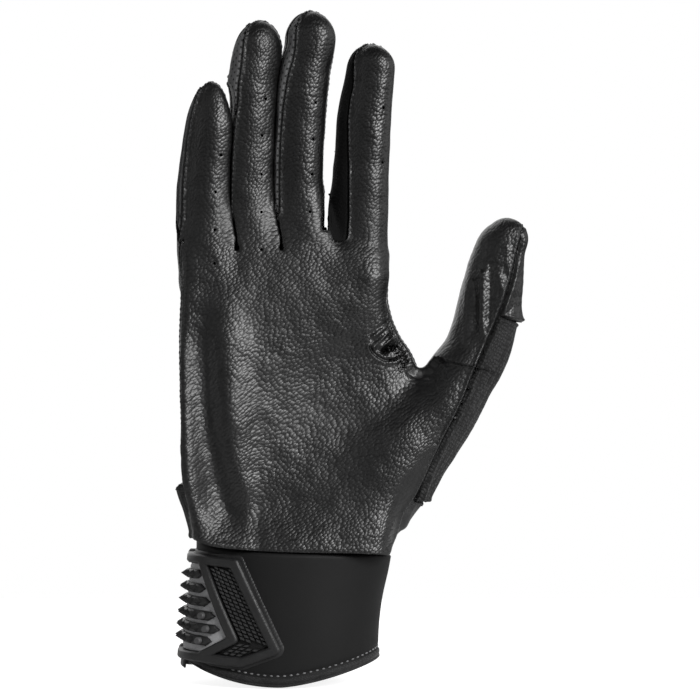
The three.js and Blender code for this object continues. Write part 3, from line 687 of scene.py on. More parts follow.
def parted(points, triangles):
    """The skin cut along its hem, its bends and all its seams."""
    points, triangles = cut(points, triangles, palm_hem(points))
    above = palm_hem(points[triangles].mean(1)) > 0
    points, triangles = compact(points, triangles[above])
    _, along, beside = nearest_finger(points)
    points, triangles = cut(points, triangles, np.where(beside, along - ROOT_SEAM, -FAR))
    height = thumb.local(*points.T)[2]
    points, triangles = cut(points, triangles, np.where(on_thumb_side(points), height - THUMB_CUT, -FAR))
    owner, along = owner_of(points)
    points, triangles = cut(points, triangles, np.where(owner == HAND, 0, above_split(owner, along)))
    owner, _ = owner_of(points)
    on_hand = (owner == HAND) | (owner == THUMB)
    points, triangles = cut(points, triangles, np.where(on_hand, hand_seam(points), 0))
    for i, finger in enumerate(fingers):
        for edge in range(4):
            owner, _ = owner_of(points)
            values = finger_seams(finger, points)[0][edge]
            points, triangles = cut(points, triangles, np.where(owner == i, values, 0))
    owner, along = owner_of(points)
    ledge = np.where((owner == THUMB) & (hand_seam(points) > -0.05), along - THUMB_LEDGE, 0)
    points, triangles = cut(points, triangles, ledge)
    for field in (yoke_field, insert_field):
        owner, _ = owner_of(points)
        on_back = (owner == HAND) & (hand_seam(points) > -0.05)
        points, triangles = cut(points, triangles, np.where(on_back, field(points), 0))
    return points, triangles


def compact(points, triangles):
    used, corner = np.unique(triangles, return_inverse=True)
    return points[used], corner.reshape(-1, 3)


def seam_distance(points):
    """How far each point is from the nearest seam or hem."""
    owner, along = owner_of(points)
    on_hand = (owner == HAND) | (owner == THUMB)
    best = np.minimum(FAR, np.where(on_hand, np.abs(hand_seam(points)), FAR))
    for i, finger in enumerate(fingers):
        rows, angle = finger_seams(finger, points)
        for row in rows:
            away = np.where(np.abs(angle) > BLIND_ANGLE, FAR, np.abs(row))
            best = np.minimum(best, np.where(owner == i, away, FAR))
    ledge = np.where((owner == THUMB) & (hand_seam(points) > 0), np.abs(along - THUMB_LEDGE), FAR)
    back = (owner == HAND) & (hand_seam(points) > 0)
    yoke = np.where(back, np.abs(yoke_field(points)), FAR)
    insert = np.where(back, np.abs(insert_field(points)), FAR)
    return np.minimum.reduce([best, ledge, yoke, insert])


def under_seam(points, owner):
    """Points of a side strip, which lies below the leather's sewn edge, but not the little finger's."""
    under = np.zeros(len(points), bool)
    for i, finger in list(enumerate(fingers))[1:]:
        under |= (owner == i) & (finger_seams(finger, points)[0][0] < 0)
    return under


WAVE_COUNT = 14
SWELLS = [(0.22, 26, 3), (0.07, 9, 4)]  # uneven swelling of the skin: height, wavelength and seed


def waves(points, length, seed):
    """Smooth uneven swelling about a wavelength long, between about -1 and 1."""
    draw = np.random.default_rng(seed)
    total = np.zeros(len(points))
    for _ in range(WAVE_COUNT):
        heading = unit(draw.normal(size=3))
        pitch = 2 * math.pi / (length * draw.uniform(0.7, 1.5))
        total += np.sin(points @ heading * pitch + draw.uniform(0, 2 * math.pi))
    return total / math.sqrt(WAVE_COUNT)


# Lines of the palm, place across by height: the valley beside the outer roll, and the thumb's crease
VALLEY = [(48, -16), (60, -20), (72, -23.5), (90, -26.6), (110, -28), (130, -28.5), (150, -27)]
THUMB_CREASE = [(48, -12), (62, -5), (80, 5), (95, 14), (109, 22.8), (122, 31)]
VALLEY_DEPTH, VALLEY_WIDTHS = 3.4, (7.0, 4.8)  # the widths are those of its two sides
CREST, CREST_ASIDE = 1.4, 8.5  # swells beside the valley
ROLL, ROLL_ASIDE = 2.8, -13.5
SWELL_WIDTH = 7.0
HOLLOW_DEPTH, HOLLOW_WIDTHS, CREASE_SLOPE = 4.4, (23.0, 34.0), 0.86
RIDGE, RIDGE_PLACE, RIDGE_WIDTH = 1.8, 33, 9  # below the index finger


def palm_folds(points):
    """The palm's rolls and hollows."""
    x, _, z = points.T
    aside = x - profile(VALLEY, z)
    length = smoothstep(z, 48, 72) * smoothstep(152 - z, 0, 34)
    valley = -VALLEY_DEPTH * bell(aside, lerp(*VALLEY_WIDTHS, smoothstep(aside, -3, 3))) * length
    valley = valley * smoothstep(156 - z, 0, 62)
    crest = CREST * bell(aside - CREST_ASIDE, SWELL_WIDTH) * length
    roll = ROLL * bell(aside - ROLL_ASIDE, SWELL_WIDTH) * length * smoothstep(134 - z, 0, 26)
    over = (x - profile(THUMB_CREASE, z)) * CREASE_SLOPE
    low = smoothstep(z, 46, 66) * smoothstep(140 - z, 0, 36)
    hollow = -HOLLOW_DEPTH * bell(over, lerp(*HOLLOW_WIDTHS, smoothstep(over, -4, 4))) * low
    ridge = RIDGE * bell(x - RIDGE_PLACE, RIDGE_WIDTH) * smoothstep(z, 124, 148)
    return valley + crest + roll + hollow + ridge


# Small folds on the palm side, each from one place across and in height to another
FOLD_RIDGES = [
    ((31.9, 118.6), (38.9, 125.4)), ((31.9, 122.4), (38.4, 126.6)), ((34.4, 118.6), (40.2, 122.9)),
]
FOLD_SLIT = [(35.6, 117.5), (41.6, 120.8)]
FOLD_SEAM = [(30.6, 118.4), (31.4, 116.8), (33.4, 115.2), (35.9, 114.1), (39.8, 114.5), (42.6, 116)]
FOLD_MIDDLE, FOLD_REACH = (36.5, 119.5), 11.0
THUMB_FOLDS = [  # with their height and width
    ((69.6, 144), (69.6, 122), 0.75, 1.3), ((76, 143), (76.6, 134), 0.5, 1.0),
    ((78.4, 153), (78.4, 145), 0.4, 1.0), ((72.6, 148), (71.7, 128), -0.8, 1.2),
    ((66.4, 141), (66.6, 124), -0.6, 1.1), ((64.2, 138), (63.6, 120), 0.4, 1.1),
]
VENTS = [  # holes through the front leather, by place across and height
    (-6.6, 205.7), (-7.7, 192.8), (-8, 179.2), (-8, 165.9), (-8, 152.6),
    (11.2, 204.3), (10.2, 191.4), (9.8, 179.2), (9.1, 165.9), (35, 202.6), (34.6, 183.4),
    (-22.3, 185.8), (-24.1, 172.9), (-24.4, 159.6), (-24.4, 147.7),
    (-35.3, 173.2), (-36.3, 164.5), (-37, 155.4),
]
VENT_RADIUS = 0.52
# Top of the wrist's back panel, by place across
YOKE_TOP = [(-40, 70), (-30, 70.5), (0, 73), (30, 68), (44, 64.5), (60, 64)]
YOKE_LIFT = 0.9
YOKE_FLARE = 2.6  # more of it at the little finger's edge
LEDGE_FLARE = 1.6  # of the back over the yoke, below the thumb
CAP_LIFT, CAP_FLARE = 0.1, 1.9  # of the cap on the back of the thumb, and more of it at its lower edge
# Ribbed panel over the knuckles, by place across and height
INSERT = [(-22, 111), (22, 111), (27, 128), (25, 143), (-25, 143), (-28, 128)]
INSERT_LIFT, INSERT_RIDGES, INSERT_RIDGE = 0.8, 6, 0.45  # the ridges' count and height
TOUCH = 0.01  # within which a point counts as on an edge


def yoke_field(points):
    return points[:, 2] - profile(YOKE_TOP, points[:, 0])


def insert_field(points):
    return polygon_distance(points[:, 0], points[:, 2], INSERT)


def vent_distance(points):
    """How far points are from the middle of the nearest vent, seen from the front."""
    return np.minimum.reduce([np.hypot(points[:, 0] - x, points[:, 2] - z) for x, z in VENTS])


def small_folds(points, owner):
    """The sewn fold beside the thumb, and the thumb's wrinkles."""
    x, _, z = points.T
    beside = line_distance(x, z, FOLD_SEAM)
    fold = -0.5 * bell(beside, 0.45) + 0.25 * bell(beside - 1.0, 0.6)
    for a, b in FOLD_RIDGES:
        away = segment_distance(x, z, a, b)
        fold += 0.5 * bell(away, 0.75) - 0.2 * bell(away - 1.5, 0.6)
    fold -= 2.6 * bell(line_distance(x, z, FOLD_SLIT), 0.95)
    wrinkles = 0
    for a, b, height, width in THUMB_FOLDS:
        wrinkles = wrinkles + height * bell(segment_distance(x, z, a, b), width)
    return np.where(owner == THUMB, wrinkles, fold)


def closing(points):
    """How far points move across so that neighbouring fingers touch."""
    x, y, z = points.T
    shift = np.zeros_like(points)
    for number in range(TOUCHING):
        rise = smoothstep(z - WEB_HEIGHTS[number], -1, 3)
        aside = x - meeting(number, y, z)
        near = smoothstep(FINGER_GAP / 2 + CLOSING_REACH - np.abs(aside), 0, CLOSING_REACH)
        tops = [finger.origin[2] + finger.shape["length"] for finger in fingers[number : number + 2]]
        near = near * smoothstep(min(tops) - z, 4, 16)
        shift[:, 0] -= np.sign(aside) * near * rise * (FINGER_GAP - FINGER_TOUCH) / 2
    return shift


def relief(points, normals):
    """How far the skin stands out from the bare form: folds, creases and seams."""
    x, _, z = points.T
    palm = smoothstep(-normals[:, 1], 0.1, 0.5)
    owner, along = owner_of(points)
    total = palm * smoothstep(154 - z, 0, 12) * (owner != THUMB) * palm_folds(points)
    total += palm * small_folds(points, owner)
    total += sum(height * waves(points, length, seed) for height, length, seed in SWELLS)
    away = seam_distance(points)
    bead = np.where(under_seam(points, owner), 0, SEAM_BEAD)
    piped = (owner == 0) & (finger_seams(fingers[0], points)[0][0] < 4) & (x < fingers[0].origin[0])
    bead = np.where(piped, PIPED_BEAD, bead)
    sewn_edge = -SEAM_DEPTH * bell(away, SEAM_WIDTH) + bead * bell(away - SEAM_BEAD_AT, 0.6)
    total += sewn_edge * np.where(owner == THUMB, lerp(1, 0.25, smoothstep(z, 152, 160)), 1)
    total += lerp(0.5, 0.15, smoothstep(x, -24, 0)) * bell(palm_hem(points) - 1.0, 1.0)
    total -= palm * 0.12 * bell(vent_distance(points), 0.9)
    return total + back_relief(points, owner, along)


def back_relief(points, owner, along):
    """How far the layers on the back stand out: yoke, ledge over it, insert and the thumb's cap."""
    x, _, z = points.T
    back = hand_seam(points) > -TOUCH
    on_hand = (owner == HAND) & back
    above = yoke_field(points)
    yoke = YOKE_LIFT * smoothstep(40 - x, 0, 10)
    yoke += YOKE_FLARE * smoothstep(-x, 26, 36) * smoothstep(z, 55, 69)
    total = np.where(on_hand & (above < TOUCH), yoke, 0)
    ledge = LEDGE_FLARE * smoothstep(x, 38, 46) * bell(above, 6)
    total += np.where(on_hand & (above > -TOUCH), ledge, 0)
    away = insert_field(points)
    low, high = INSERT[0][1], INSERT[3][1]
    ridges = np.cos((z - low) / (high - low) * 2 * math.pi * INSERT_RIDGES)
    insert = INSERT_LIFT + INSERT_RIDGE * ridges * smoothstep(np.maximum(0, -away), 1.5, 3.5)
    total += np.where(on_hand & (away < TOUCH), insert, 0)
    cap = (owner == THUMB) & back & (along > THUMB_LEDGE - TOUCH)
    flare = CAP_FLARE * bell(along - THUMB_LEDGE, 4) * smoothstep(hand_seam(points), 0.5, 8)
    return total + np.where(cap, CAP_LIFT + flare, 0)


def close_to_detail(points):
    """Where the skin needs finer triangles: beside the vents and in the fold beside the thumb."""
    x, y, z = points.T
    fold = np.hypot(x - FOLD_MIDDLE[0], z - FOLD_MIDDLE[1]) < FOLD_REACH
    return ((vent_distance(points) < 1.7) | fold) & (y < 4)


def with_vents(points, triangles):
    """The skin with its vents cut out of the front."""
    normals = normals_of(points, triangles)
    open_front = (normals[:, 1] < -0.15) & (points[:, 1] < 2)
    away = vent_distance(points) - VENT_RADIUS
    points, triangles = cut(points, triangles, np.where(open_front, away, FAR))
    middle = points[triangles].mean(1)
    facing = (middle[:, 1] < 2) & (normals_of(points, triangles)[triangles].mean(1)[:, 1] < -0.1)
    return compact(points, triangles[(vent_distance(middle) > VENT_RADIUS) | ~facing])


points, triangles = parted(*form_skin())
for reach in (2.2, 1.4):
    points, triangles = refined(points, triangles, seam_distance(points) < reach)
for _ in range(2):
    points, triangles = refined(points, triangles, close_to_detail(points))
points, triangles = with_vents(points, triangles)
form_normals = normals_of(points, triangles)
skin = points + closing(points) + form_normals * relief(points, form_normals)[:, None]
skin_normals = normals_of(skin, triangles)
on_seam = seam_distance(points) < 0.06


def panel_numbers():
    """For each triangle its holder, whether it lies past the holder's split, and its panel's name."""
    middle = points[triangles].mean(1)
    owner, along = owner_of(middle)
    upper = (owner != HAND) & (above_split(owner, along) > 0)
    panel = np.where(hand_seam(middle) < 0, "front", "back").astype("<U12")
    for i, finger in enumerate(fingers):
        mine = owner == i
        angle = finger.angle(middle[mine])
        (left, left_back), (right, right_back) = finger.edge_angles(along[mine])
        names = np.full(mine.sum(), "back", "<U12")
        names[(angle > left_back) & (angle < left)] = "ulnar_strip"
        names[(angle > right) & (angle < right_back)] = "thumb_strip"
        names[(angle >= left) & (angle <= right)] = "front"
        panel[mine] = names
    back = panel == "back"
    panel[(owner == THUMB) & back & (along > THUMB_LEDGE)] = "cap"
    panel[(owner == HAND) & back & (yoke_field(middle) < 0)] = "yoke"
    panel[(owner == HAND) & back & (insert_field(middle) < 0)] = "insert"
    return owner, upper, panel


# Blender objects

def mesh_object(name, points, faces, material, corner_normals=None, **places):
    """A smooth mesh of triangles from points in millimetres, with its rest place and others kept."""
    mesh = bpy.data.meshes.new(name)
    faces = np.asarray(faces)
    mesh.vertices.add(len(points))
    mesh.vertices.foreach_set("co", (np.asarray(points) * MM).astype(np.float32).ravel())
    mesh.loops.add(faces.size)
    mesh.loops.foreach_set("vertex_index", faces.astype(np.int32).ravel())
    mesh.polygons.add(len(faces))
    size = faces.shape[1]
    mesh.polygons.foreach_set("loop_start", (np.arange(len(faces)) * size).astype(np.int32))
    mesh.polygons.foreach_set("use_smooth", np.ones(len(faces), bool))
    mesh.update(calc_edges=True)
    for key, place in {"rest": points, **places}.items():
        layer = mesh.attributes.new(key, "FLOAT_VECTOR", "POINT")
        layer.data.foreach_set("vector", (np.asarray(place) * MM).astype(np.float32).ravel())
    mesh.materials.append(material)
    mesh.validate()
    if corner_normals is not None:
        mesh.normals_split_custom_set(corner_normals.reshape(-1, 3).tolist())
    item = bpy.data.objects.new(name, mesh)
    bpy.context.scene.collection.objects.link(item)
    return item


def boundary_edges(faces):
    """Edges of one triangle only, in that triangle's direction."""
    pairs = faces[:, [0, 1, 1, 2, 2, 0]].reshape(-1, 2)
    key = np.sort(pairs, axis=1) @ np.array([int(faces.max()) + 1, 1])
    _, inverse, count = np.unique(key, return_inverse=True, return_counts=True)
    return pairs[count[inverse] == 1]


def closed(outer, inner, faces):
    """Points and faces of a closed piece between two layers of the same points."""
    count = len(outer)
    a, b = boundary_edges(faces).T
    rim = np.vstack([np.stack([b, a, a + count], 1), np.stack([b, a + count, b + count], 1)])
    return np.vstack([outer, inner]), np.vstack([faces, faces[:, ::-1] + count, rim])


GRAIN_CENTRE = np.array([-2.0, 98.0])
GRAIN_PULL = unit(np.array([0.85, 0.53]))  # how the palm's grain is drawn out
GRAIN_STRETCH, GRAIN_LENGTH, GRAIN_WIDTH = 0.2, 34.0, 36.0


def laid_flat(points, holder):
    """Place across, with the way round a finger's side laid flat, and height."""
    across, height = points[:, 0].copy(), points[:, 2]
    if holder == THUMB:
        line = thumb_line()
        middle, depth, radius = (np.interp(height, line[:, 2], line[:, k]) for k in (0, 1, 3))
        side = across - middle
        turn = np.arctan2(side, depth - points[:, 1] - THUMB_LEAN * side)
        across = middle + radius * turn
    elif holder != HAND:
        finger = fingers[holder]
        aside, _, along = finger.local(*points.T)
        half, _, middle, _ = finger.section(along)
        across += half * np.radians(finger.angle(points)) - (aside - middle)
    return across, height


def grain_place(points, holder):
    """Flat places whose pattern is drawn out across the palm."""
    flat = np.stack(laid_flat(points, holder), 1)
    off = flat - GRAIN_CENTRE
    along = off @ GRAIN_PULL
    aside = off[:, 1] * GRAIN_PULL[0] - off[:, 0] * GRAIN_PULL[1]
    pull = GRAIN_STRETCH * bell(aside, GRAIN_WIDTH) * smoothstep(-points[:, 1], 0, 8)
    flat = flat - GRAIN_PULL * (pull * GRAIN_LENGTH * np.tanh(along / GRAIN_LENGTH))[:, None]
    return np.column_stack([flat, np.zeros(len(flat))])


def skin_panel(name, chosen, wall, material, holder, strip):
    """One sewn panel from the skin's chosen triangles, its sewn edges drawn in by half a slit."""
    used, corner = np.unique(triangles[chosen], return_inverse=True)
    faces = corner.reshape(-1, 3)
    outer, normals = skin[used], skin_normals[used]
    edge = np.zeros(len(used), bool)
    edge[boundary_edges(faces).ravel()] = True
    edge &= on_seam[used]
    inward = neighbour_mean(outer, faces) - outer
    inward -= normals * (inward * normals).sum(1, keepdims=True)
    outer = outer + unit(inward) * np.where(edge, SLIT, 0)[:, None]
    every, all_faces = closed(outer, outer - normals * wall, faces)
    corner_normals = np.zeros((len(all_faces), 3, 3))
    corner_normals[: len(faces)] = normals[faces]
    corner_normals[len(faces) : 2 * len(faces)] = -normals[faces[:, ::-1]]
    rest = points[used]
    places = {"rest": rest, "grain": grain_place(rest, holder)}
    if strip:
        rows, _ = finger_seams(fingers[holder], rest)
        height = fingers[holder].local(*rest.T)[2]
        places["strip"] = np.stack([np.minimum(np.abs(rows[0]), np.abs(rows[2])), height, 0 * height], 1)
    places = {key: np.vstack([place, place]) for key, place in places.items()}
    return mesh_object(name, every, all_faces, material, corner_normals, **places)


# Materials

def material_of(name, roughness=0.5, specular=0.5):
    """A new material with its nodes and its shader."""
    material = bpy.data.materials.new(name)
    material.use_nodes = True
    tree = material.node_tree
    shader = tree.nodes["Principled BSDF"]
    shader.inputs["Roughness"].default_value = roughness
    shader.inputs["Specular IOR Level"].default_value = specular
    return material, tree, shader


def add(tree, kind, sockets=None, **settings):
    """A node with its settings, and its inputs given as values or as other nodes' outputs."""
    made = tree.nodes.new("ShaderNode" + kind)
    for key, value in settings.items():
        setattr(made, key, value)
    for key, value in (sockets or {}).items():
        if isinstance(value, bpy.types.NodeSocket):
            tree.links.new(value, made.inputs[key])
        else:
            made.inputs[key].default_value = value
    return made


def placed(tree, size, attribute="rest", turn=(0, 0, 0)):
    """A kept place, turned, then divided by a size in millimetres on each axis."""
    place = add(tree, "Attribute", attribute_name=attribute)
    scale = [MM * part for part in size]
    sockets = {"Vector": place.outputs["Vector"], "Rotation": turn, "Scale": scale}
    return add(tree, "Mapping", sockets, vector_type="TEXTURE").outputs["Vector"]


def noise(tree, vector, scale=1.0, detail=3.0, roughness=0.5):
    sockets = {"Vector": vector, "Scale": scale, "Detail": detail, "Roughness": roughness}
    return add(tree, "TexNoise", sockets).outputs["Fac"]


def ranged(tree, value, low, high, to_low=0.0, to_high=1.0, smooth=False):
    sockets = {"Value": value, "From Min": low, "From Max": high, "To Min": to_low, "To Max": to_high}
    kind = "SMOOTHSTEP" if smooth else "LINEAR"
    return add(tree, "MapRange", sockets, interpolation_type=kind).outputs["Result"]


def maths(tree, operation, a, b=0.0, c=0.5):
    return add(tree, "Math", {0: a, 1: b, 2: c}, operation=operation).outputs[0]


COLOUR_A, COLOUR_B, COLOUR_OUT = 6, 7, 2  # sockets of a mix of colours


def mixed(tree, factor, a, b):
    sockets = {"Factor": factor, COLOUR_A: a, COLOUR_B: b}
    return add(tree, "Mix", sockets, data_type="RGBA").outputs[COLOUR_OUT]


def connect(tree, shader, sockets):
    for key, value in sockets.items():
        tree.links.new(value, shader.inputs[key])


def bump(tree, height, depth, below=None):
    """Normals for a height between 0 and 1 that stands a depth in millimetres."""
    sockets = {"Height": height, "Distance": depth * MM, "Strength": 1.0}
    if below is not None:
        sockets["Normal"] = below
    return add(tree, "Bump", sockets).outputs["Normal"]


def shaken(tree, vector, amount, scale):
    """A vector moved about by noise, so that its pattern isn't regular."""
    colour = add(tree, "TexNoise", {"Vector": vector, "Scale": scale, "Detail": 2.0}).outputs["Color"]
    centred = add(tree, "VectorMath", {0: colour, 1: (0.5, 0.5, 0.5)}, operation="SUBTRACT").outputs[0]
    moved = add(tree, "VectorMath", {0: centred, "Scale": amount}, operation="SCALE").outputs[0]
    return add(tree, "VectorMath", {0: vector, 1: moved}, operation="ADD").outputs[0]


def leather(name, dark, light, pitch, depth, gloss, punched=False):
    """Grained leather: drawn-out domed cells with creases between them, faint swells, and uneven gloss."""
    material, tree, shader = material_of(name, 0.5, 0.55)
    flat = placed(tree, (pitch * GRAIN_LONG, pitch, pitch), "grain", turn=(0, 0, GRAIN_TURN))
    cells = shaken(tree, flat, 0.55, 0.45)
    sockets = {"Vector": cells, "Scale": 1.0, "Randomness": 0.8}
    near = add(tree, "TexVoronoi", sockets, feature="F1", voronoi_dimensions="2D").outputs["Distance"]
    dome = ranged(tree, maths(tree, "POWER", near, 1.7), 0.0, 0.55, 1.0, 0.0)
    broad = noise(tree, placed(tree, (6, 6, 6), "grain"), detail=1.0)
    worn = noise(tree, placed(tree, (28, 28, 28)), detail=2.0)
    tone = maths(tree, "MULTIPLY_ADD", dome, 0.5, broad)
    colour = mixed(tree, ranged(tree, tone, 0.3, 1.1), dark, light)
    height = dome
    if punched:
        solid = punches(tree)
        height = maths(tree, "MULTIPLY_ADD", solid, 5.0, dome)
        # The small holes are painted near-black, as painted shade inside them
        colour = mixed(tree, solid, HOLE_PAINTED_SHADE, colour)
    connect(tree, shader, {
        "Base Color": colour,
        "Roughness": ranged(tree, worn, 0.3, 0.7, gloss, gloss + 0.1),
        "Normal": bump(tree, height, depth, bump(tree, broad, 0.3)),
    })
    return material


def punches(tree):
    """1 on a side strip and 0 in its small holes, which stand in two staggered rows along the seam."""
    width, pitch = PUNCH_ROWS * 2, PUNCH_PITCH
    place = placed(tree, (width, pitch, 1), "strip")
    cell = add(tree, "VectorMath", {0: place}, operation="FRACTION").outputs[0]
    flat = add(tree, "VectorMath", {0: cell, 1: (width, pitch, 0)}, operation="MULTIPLY").outputs[0]
    away = []
    for centre in ((width / 4, pitch / 4, 0), (width * 3 / 4, pitch * 3 / 4, 0)):
        away.append(add(tree, "VectorMath", {0: flat, 1: centre}, operation="DISTANCE").outputs["Value"])
    return ranged(tree, maths(tree, "MINIMUM", *away), PUNCH_RADIUS * 0.75, PUNCH_RADIUS * 1.1, smooth=True)


def plain(name, dark, light, roughness, pitch, depth, specular=0.4):
    """A matte surface with a fine uneven grain."""
    material, tree, shader = material_of(name, roughness, specular)
    fine = noise(tree, placed(tree, (pitch, pitch, pitch)), detail=4.0, roughness=0.6)
    broad = noise(tree, placed(tree, (14, 14, 14)))
    tone = maths(tree, "ADD", fine, broad)
    connect(tree, shader, {
        "Base Color": mixed(tree, ranged(tree, tone, 0.7, 1.3), dark, light),
        "Roughness": ranged(tree, broad, 0.3, 0.7, roughness - 0.06, roughness + 0.06),
        "Normal": bump(tree, fine, depth),
    })
    return material


def woven(name, dark, light, pitch, depth, roughness, sheen):
    """Stretch cloth: fine raised cells in offset rows."""
    material, tree, shader = material_of(name, roughness, 0.25)
    shader.inputs["Sheen Weight"].default_value = sheen
    shader.inputs["Sheen Roughness"].default_value = 0.5
    cells = placed(tree, (pitch, pitch * 3, pitch * 1.4), turn=(0, 0.5, 0))
    sockets = {"Vector": cells, "Scale": 1.0, "Randomness": 0.45}
    rows = add(tree, "TexVoronoi", sockets, feature="F1").outputs["Distance"]
    knot = ranged(tree, rows, 0.15, 0.65, 1.0, 0.0, smooth=True)
    broad = noise(tree, placed(tree, (16, 16, 16)))
    tone = maths(tree, "MULTIPLY_ADD", knot, 0.6, broad)
    connect(tree, shader, {
        "Base Color": mixed(tree, ranged(tree, tone, 0.35, 1.2), dark, light),
        "Normal": bump(tree, knot, depth),
    })
    return material


def grey(value):
    return (value, value, value * 1.02, 1)


GRAIN_TURN = math.radians(40)  # the grain runs up towards the thumb
GRAIN_LONG = 1.4
PUNCH_PITCH, PUNCH_ROWS, PUNCH_RADIUS = 2.54, 1.5, 0.42  # of the small holes in the side strips
# Painted shade inside the side strips' small holes
HOLE_PAINTED_SHADE = (0.001, 0.001, 0.001, 1)
FRONT_LEATHER = leather("front_leather", grey(0.003), grey(0.008), 1.0, 0.1, 0.33)
EDGE_LEATHER = leather("edge_leather", grey(0.05), grey(0.08), 0.9, 0.03, 0.4)
STRIP_LEATHER = leather("strip_leather", grey(0.07), grey(0.11), 0.9, 0.03, 0.6, punched=True)
BACK_FABRIC = woven("back_fabric", grey(0.003), grey(0.03), 0.85, 0.22, 0.6, 0.06)
# The index finger's side strip: black fabric, made darker still as painted shade between the fingers
BLACK_FABRIC_AND_SHADE = woven("dark_fabric", grey(0.001), grey(0.003), 0.8, 0.1, 0.9, 0.0)
YOKE_LEATHER = leather("yoke_leather", grey(0.008), grey(0.022), 1.0, 0.06, 0.46)
CUFF_NEOPRENE = plain("cuff_neoprene", grey(0.004), grey(0.006), 0.62, 0.35, 0.03, 0.25)
BINDING = woven("hem_binding", grey(0.008), grey(0.03), 0.5, 0.08, 0.7, 0.12)
RUBBER = plain("black_rubber", grey(0.012), grey(0.019), 0.46, 0.5, 0.025, 0.4)
GREY_RUBBER = plain("grey_rubber", grey(0.26), grey(0.46), 0.6, 0.5, 0.05, 0.35)
STUD_RUBBER = plain("stud_rubber", grey(0.06), grey(0.09), 0.5, 0.5, 0.025, 0.4)
# Lit and shaded copies of the knurl's one rubber: the cells' tops lighter as a painted highlight, the plate between
# them near-black as painted shade
KNURL_PAINTED_LIGHT = plain("knurl_rubber", grey(0.02), grey(0.034), 0.46, 0.5, 0.025, 0.4)
KNURL_PAINTED_SHADE = plain("deep_rubber", grey(0.002), grey(0.004), 0.6, 0.5, 0.025, 0.3)
HOOK_LOOP = plain("hook_and_loop", grey(0.006), grey(0.03), 0.85, 0.6, 0.5, 0.2)
THREAD = plain("thread", grey(0.02), grey(0.045), 0.6, 0.4, 0.1, 0.4)
PALE_THREAD = plain("pale_thread", grey(0.12), grey(0.24), 0.6, 0.4, 0.1, 0.4)


# Sewn panels

def fitted(item, body, slot, *nodes):
    """The piece rides on a body, with its kind of material, in place of the named solids."""
    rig.ride(item, body)
    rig.slot(item, slot)
    if nodes:
        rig.replaces(item, *nodes)
    return item


def hold(item, holder, upper):
    """The piece follows its finger's bend, or rides on the hand."""
    if holder == HAND:
        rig.ride(item, "hand")
        return
    finger = [*fingers, thumb][holder]
    if upper:
        low, high = finger.bend - MIDDLE_BLEND, finger.bend + MIDDLE_BLEND
        bodies = (finger.name + "_lower", finger.name + "_upper")
    else:
        low, high = ROOT_SEAM + 0.5, THUMB_BLEND if finger is thumb else KNUCKLE_BLEND
        bodies = ("hand", finger.name + "_lower")
    ends = [Vector(finger.place(0, 0, along) * MM) for along in (low, high)]
    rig.blend(item, *bodies, start=ends[0], end=ends[1])


PANEL_LOOK = {
    "front": (FRONT_LEATHER, LEATHER, "palm_leather"),
    "back": (BACK_FABRIC, FABRIC, "stretch_fabric"),
    "ulnar_strip": (STRIP_LEATHER, LEATHER, "side_strip"),
    "thumb_strip": (STRIP_LEATHER, LEATHER, "side_strip"),
    "cap": (FRONT_LEATHER, LEATHER, "palm_leather"),
    "yoke": (YOKE_LEATHER, LEATHER, "knuckle_leather"),
    "insert": (YOKE_LEATHER, LEATHER, "knuckle_leather"),
}
# The index finger's side strip takes the black fabric darkened as painted shade between the fingers
OTHER_STRIPS = {("index", "ulnar_strip"): BLACK_FABRIC_AND_SHADE, ("pinky", "ulnar_strip"): EDGE_LEATHER}
HAND_NODES = {
    "front": ["palm_panel", "thumb_fold_patch", "web_pinky_ring", "web_ring_middle", "web_middle_index"],
    "back": ["back_panel"], "yoke": ["ulnar_edge_tab"], "insert": ["knuckle_insert"],
}
SMALLEST_CUT = 0.011  # metres
holders, past_split, panel_names = panel_numbers()
finger_names = [finger.name for finger in [*fingers, thumb]]


def flat_cut(item, chosen, holder):
    """Size in metres of the flat piece that a panel is cut from, and its area with its turned edges."""
    area = sum(face.area for face in item.data.polygons) / 2
    flat = np.stack(laid_flat(points[np.unique(triangles[chosen])], holder), 1) * MM
    width, length = np.maximum(np.ptp(flat, axis=0), SMALLEST_CUT)
    width = max(width, area / length)
    return {"flat": (width, length), "area": max(area, 0.3 * width * length)}


def panel_piece(holder, upper, panel):
    """One panel of the hand or of a finger, or nothing where it has no such panel."""
    chosen = (holders == holder) & (past_split == upper) & (panel_names == panel)
    if not chosen.any():
        return
    material, wall, slot = PANEL_LOOK[panel]
    if holder == HAND:
        name = "hand_" + ("palm" if panel == "front" else panel)
        nodes = HAND_NODES[panel]
    else:
        finger = finger_names[holder]
        name = f"{finger}_{panel}_{'tip' if upper else 'base'}"
        node = f"{finger}_{panel}_{'upper' if upper else 'lower'}"
        nodes = [node] if node in frame["nodes"] else []
        material = OTHER_STRIPS.get((finger, panel), material)
    item = skin_panel(name, chosen, wall, material, holder, "strip" in panel)
    hold(item, holder, upper)
    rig.slot(item, slot)
    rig.sheet(item, held="stretched", **flat_cut(item, chosen, holder))
    if nodes:
        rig.replaces(item, *nodes)


for holder in range(HAND, THUMB + 1):
    for upper in (False, True):
        for panel in PANEL_LOOK:
            panel_piece(holder, upper, panel)


# Cuff: an upright ring, by height and by angle, where 0 faces the palm and 90 the thumb's side

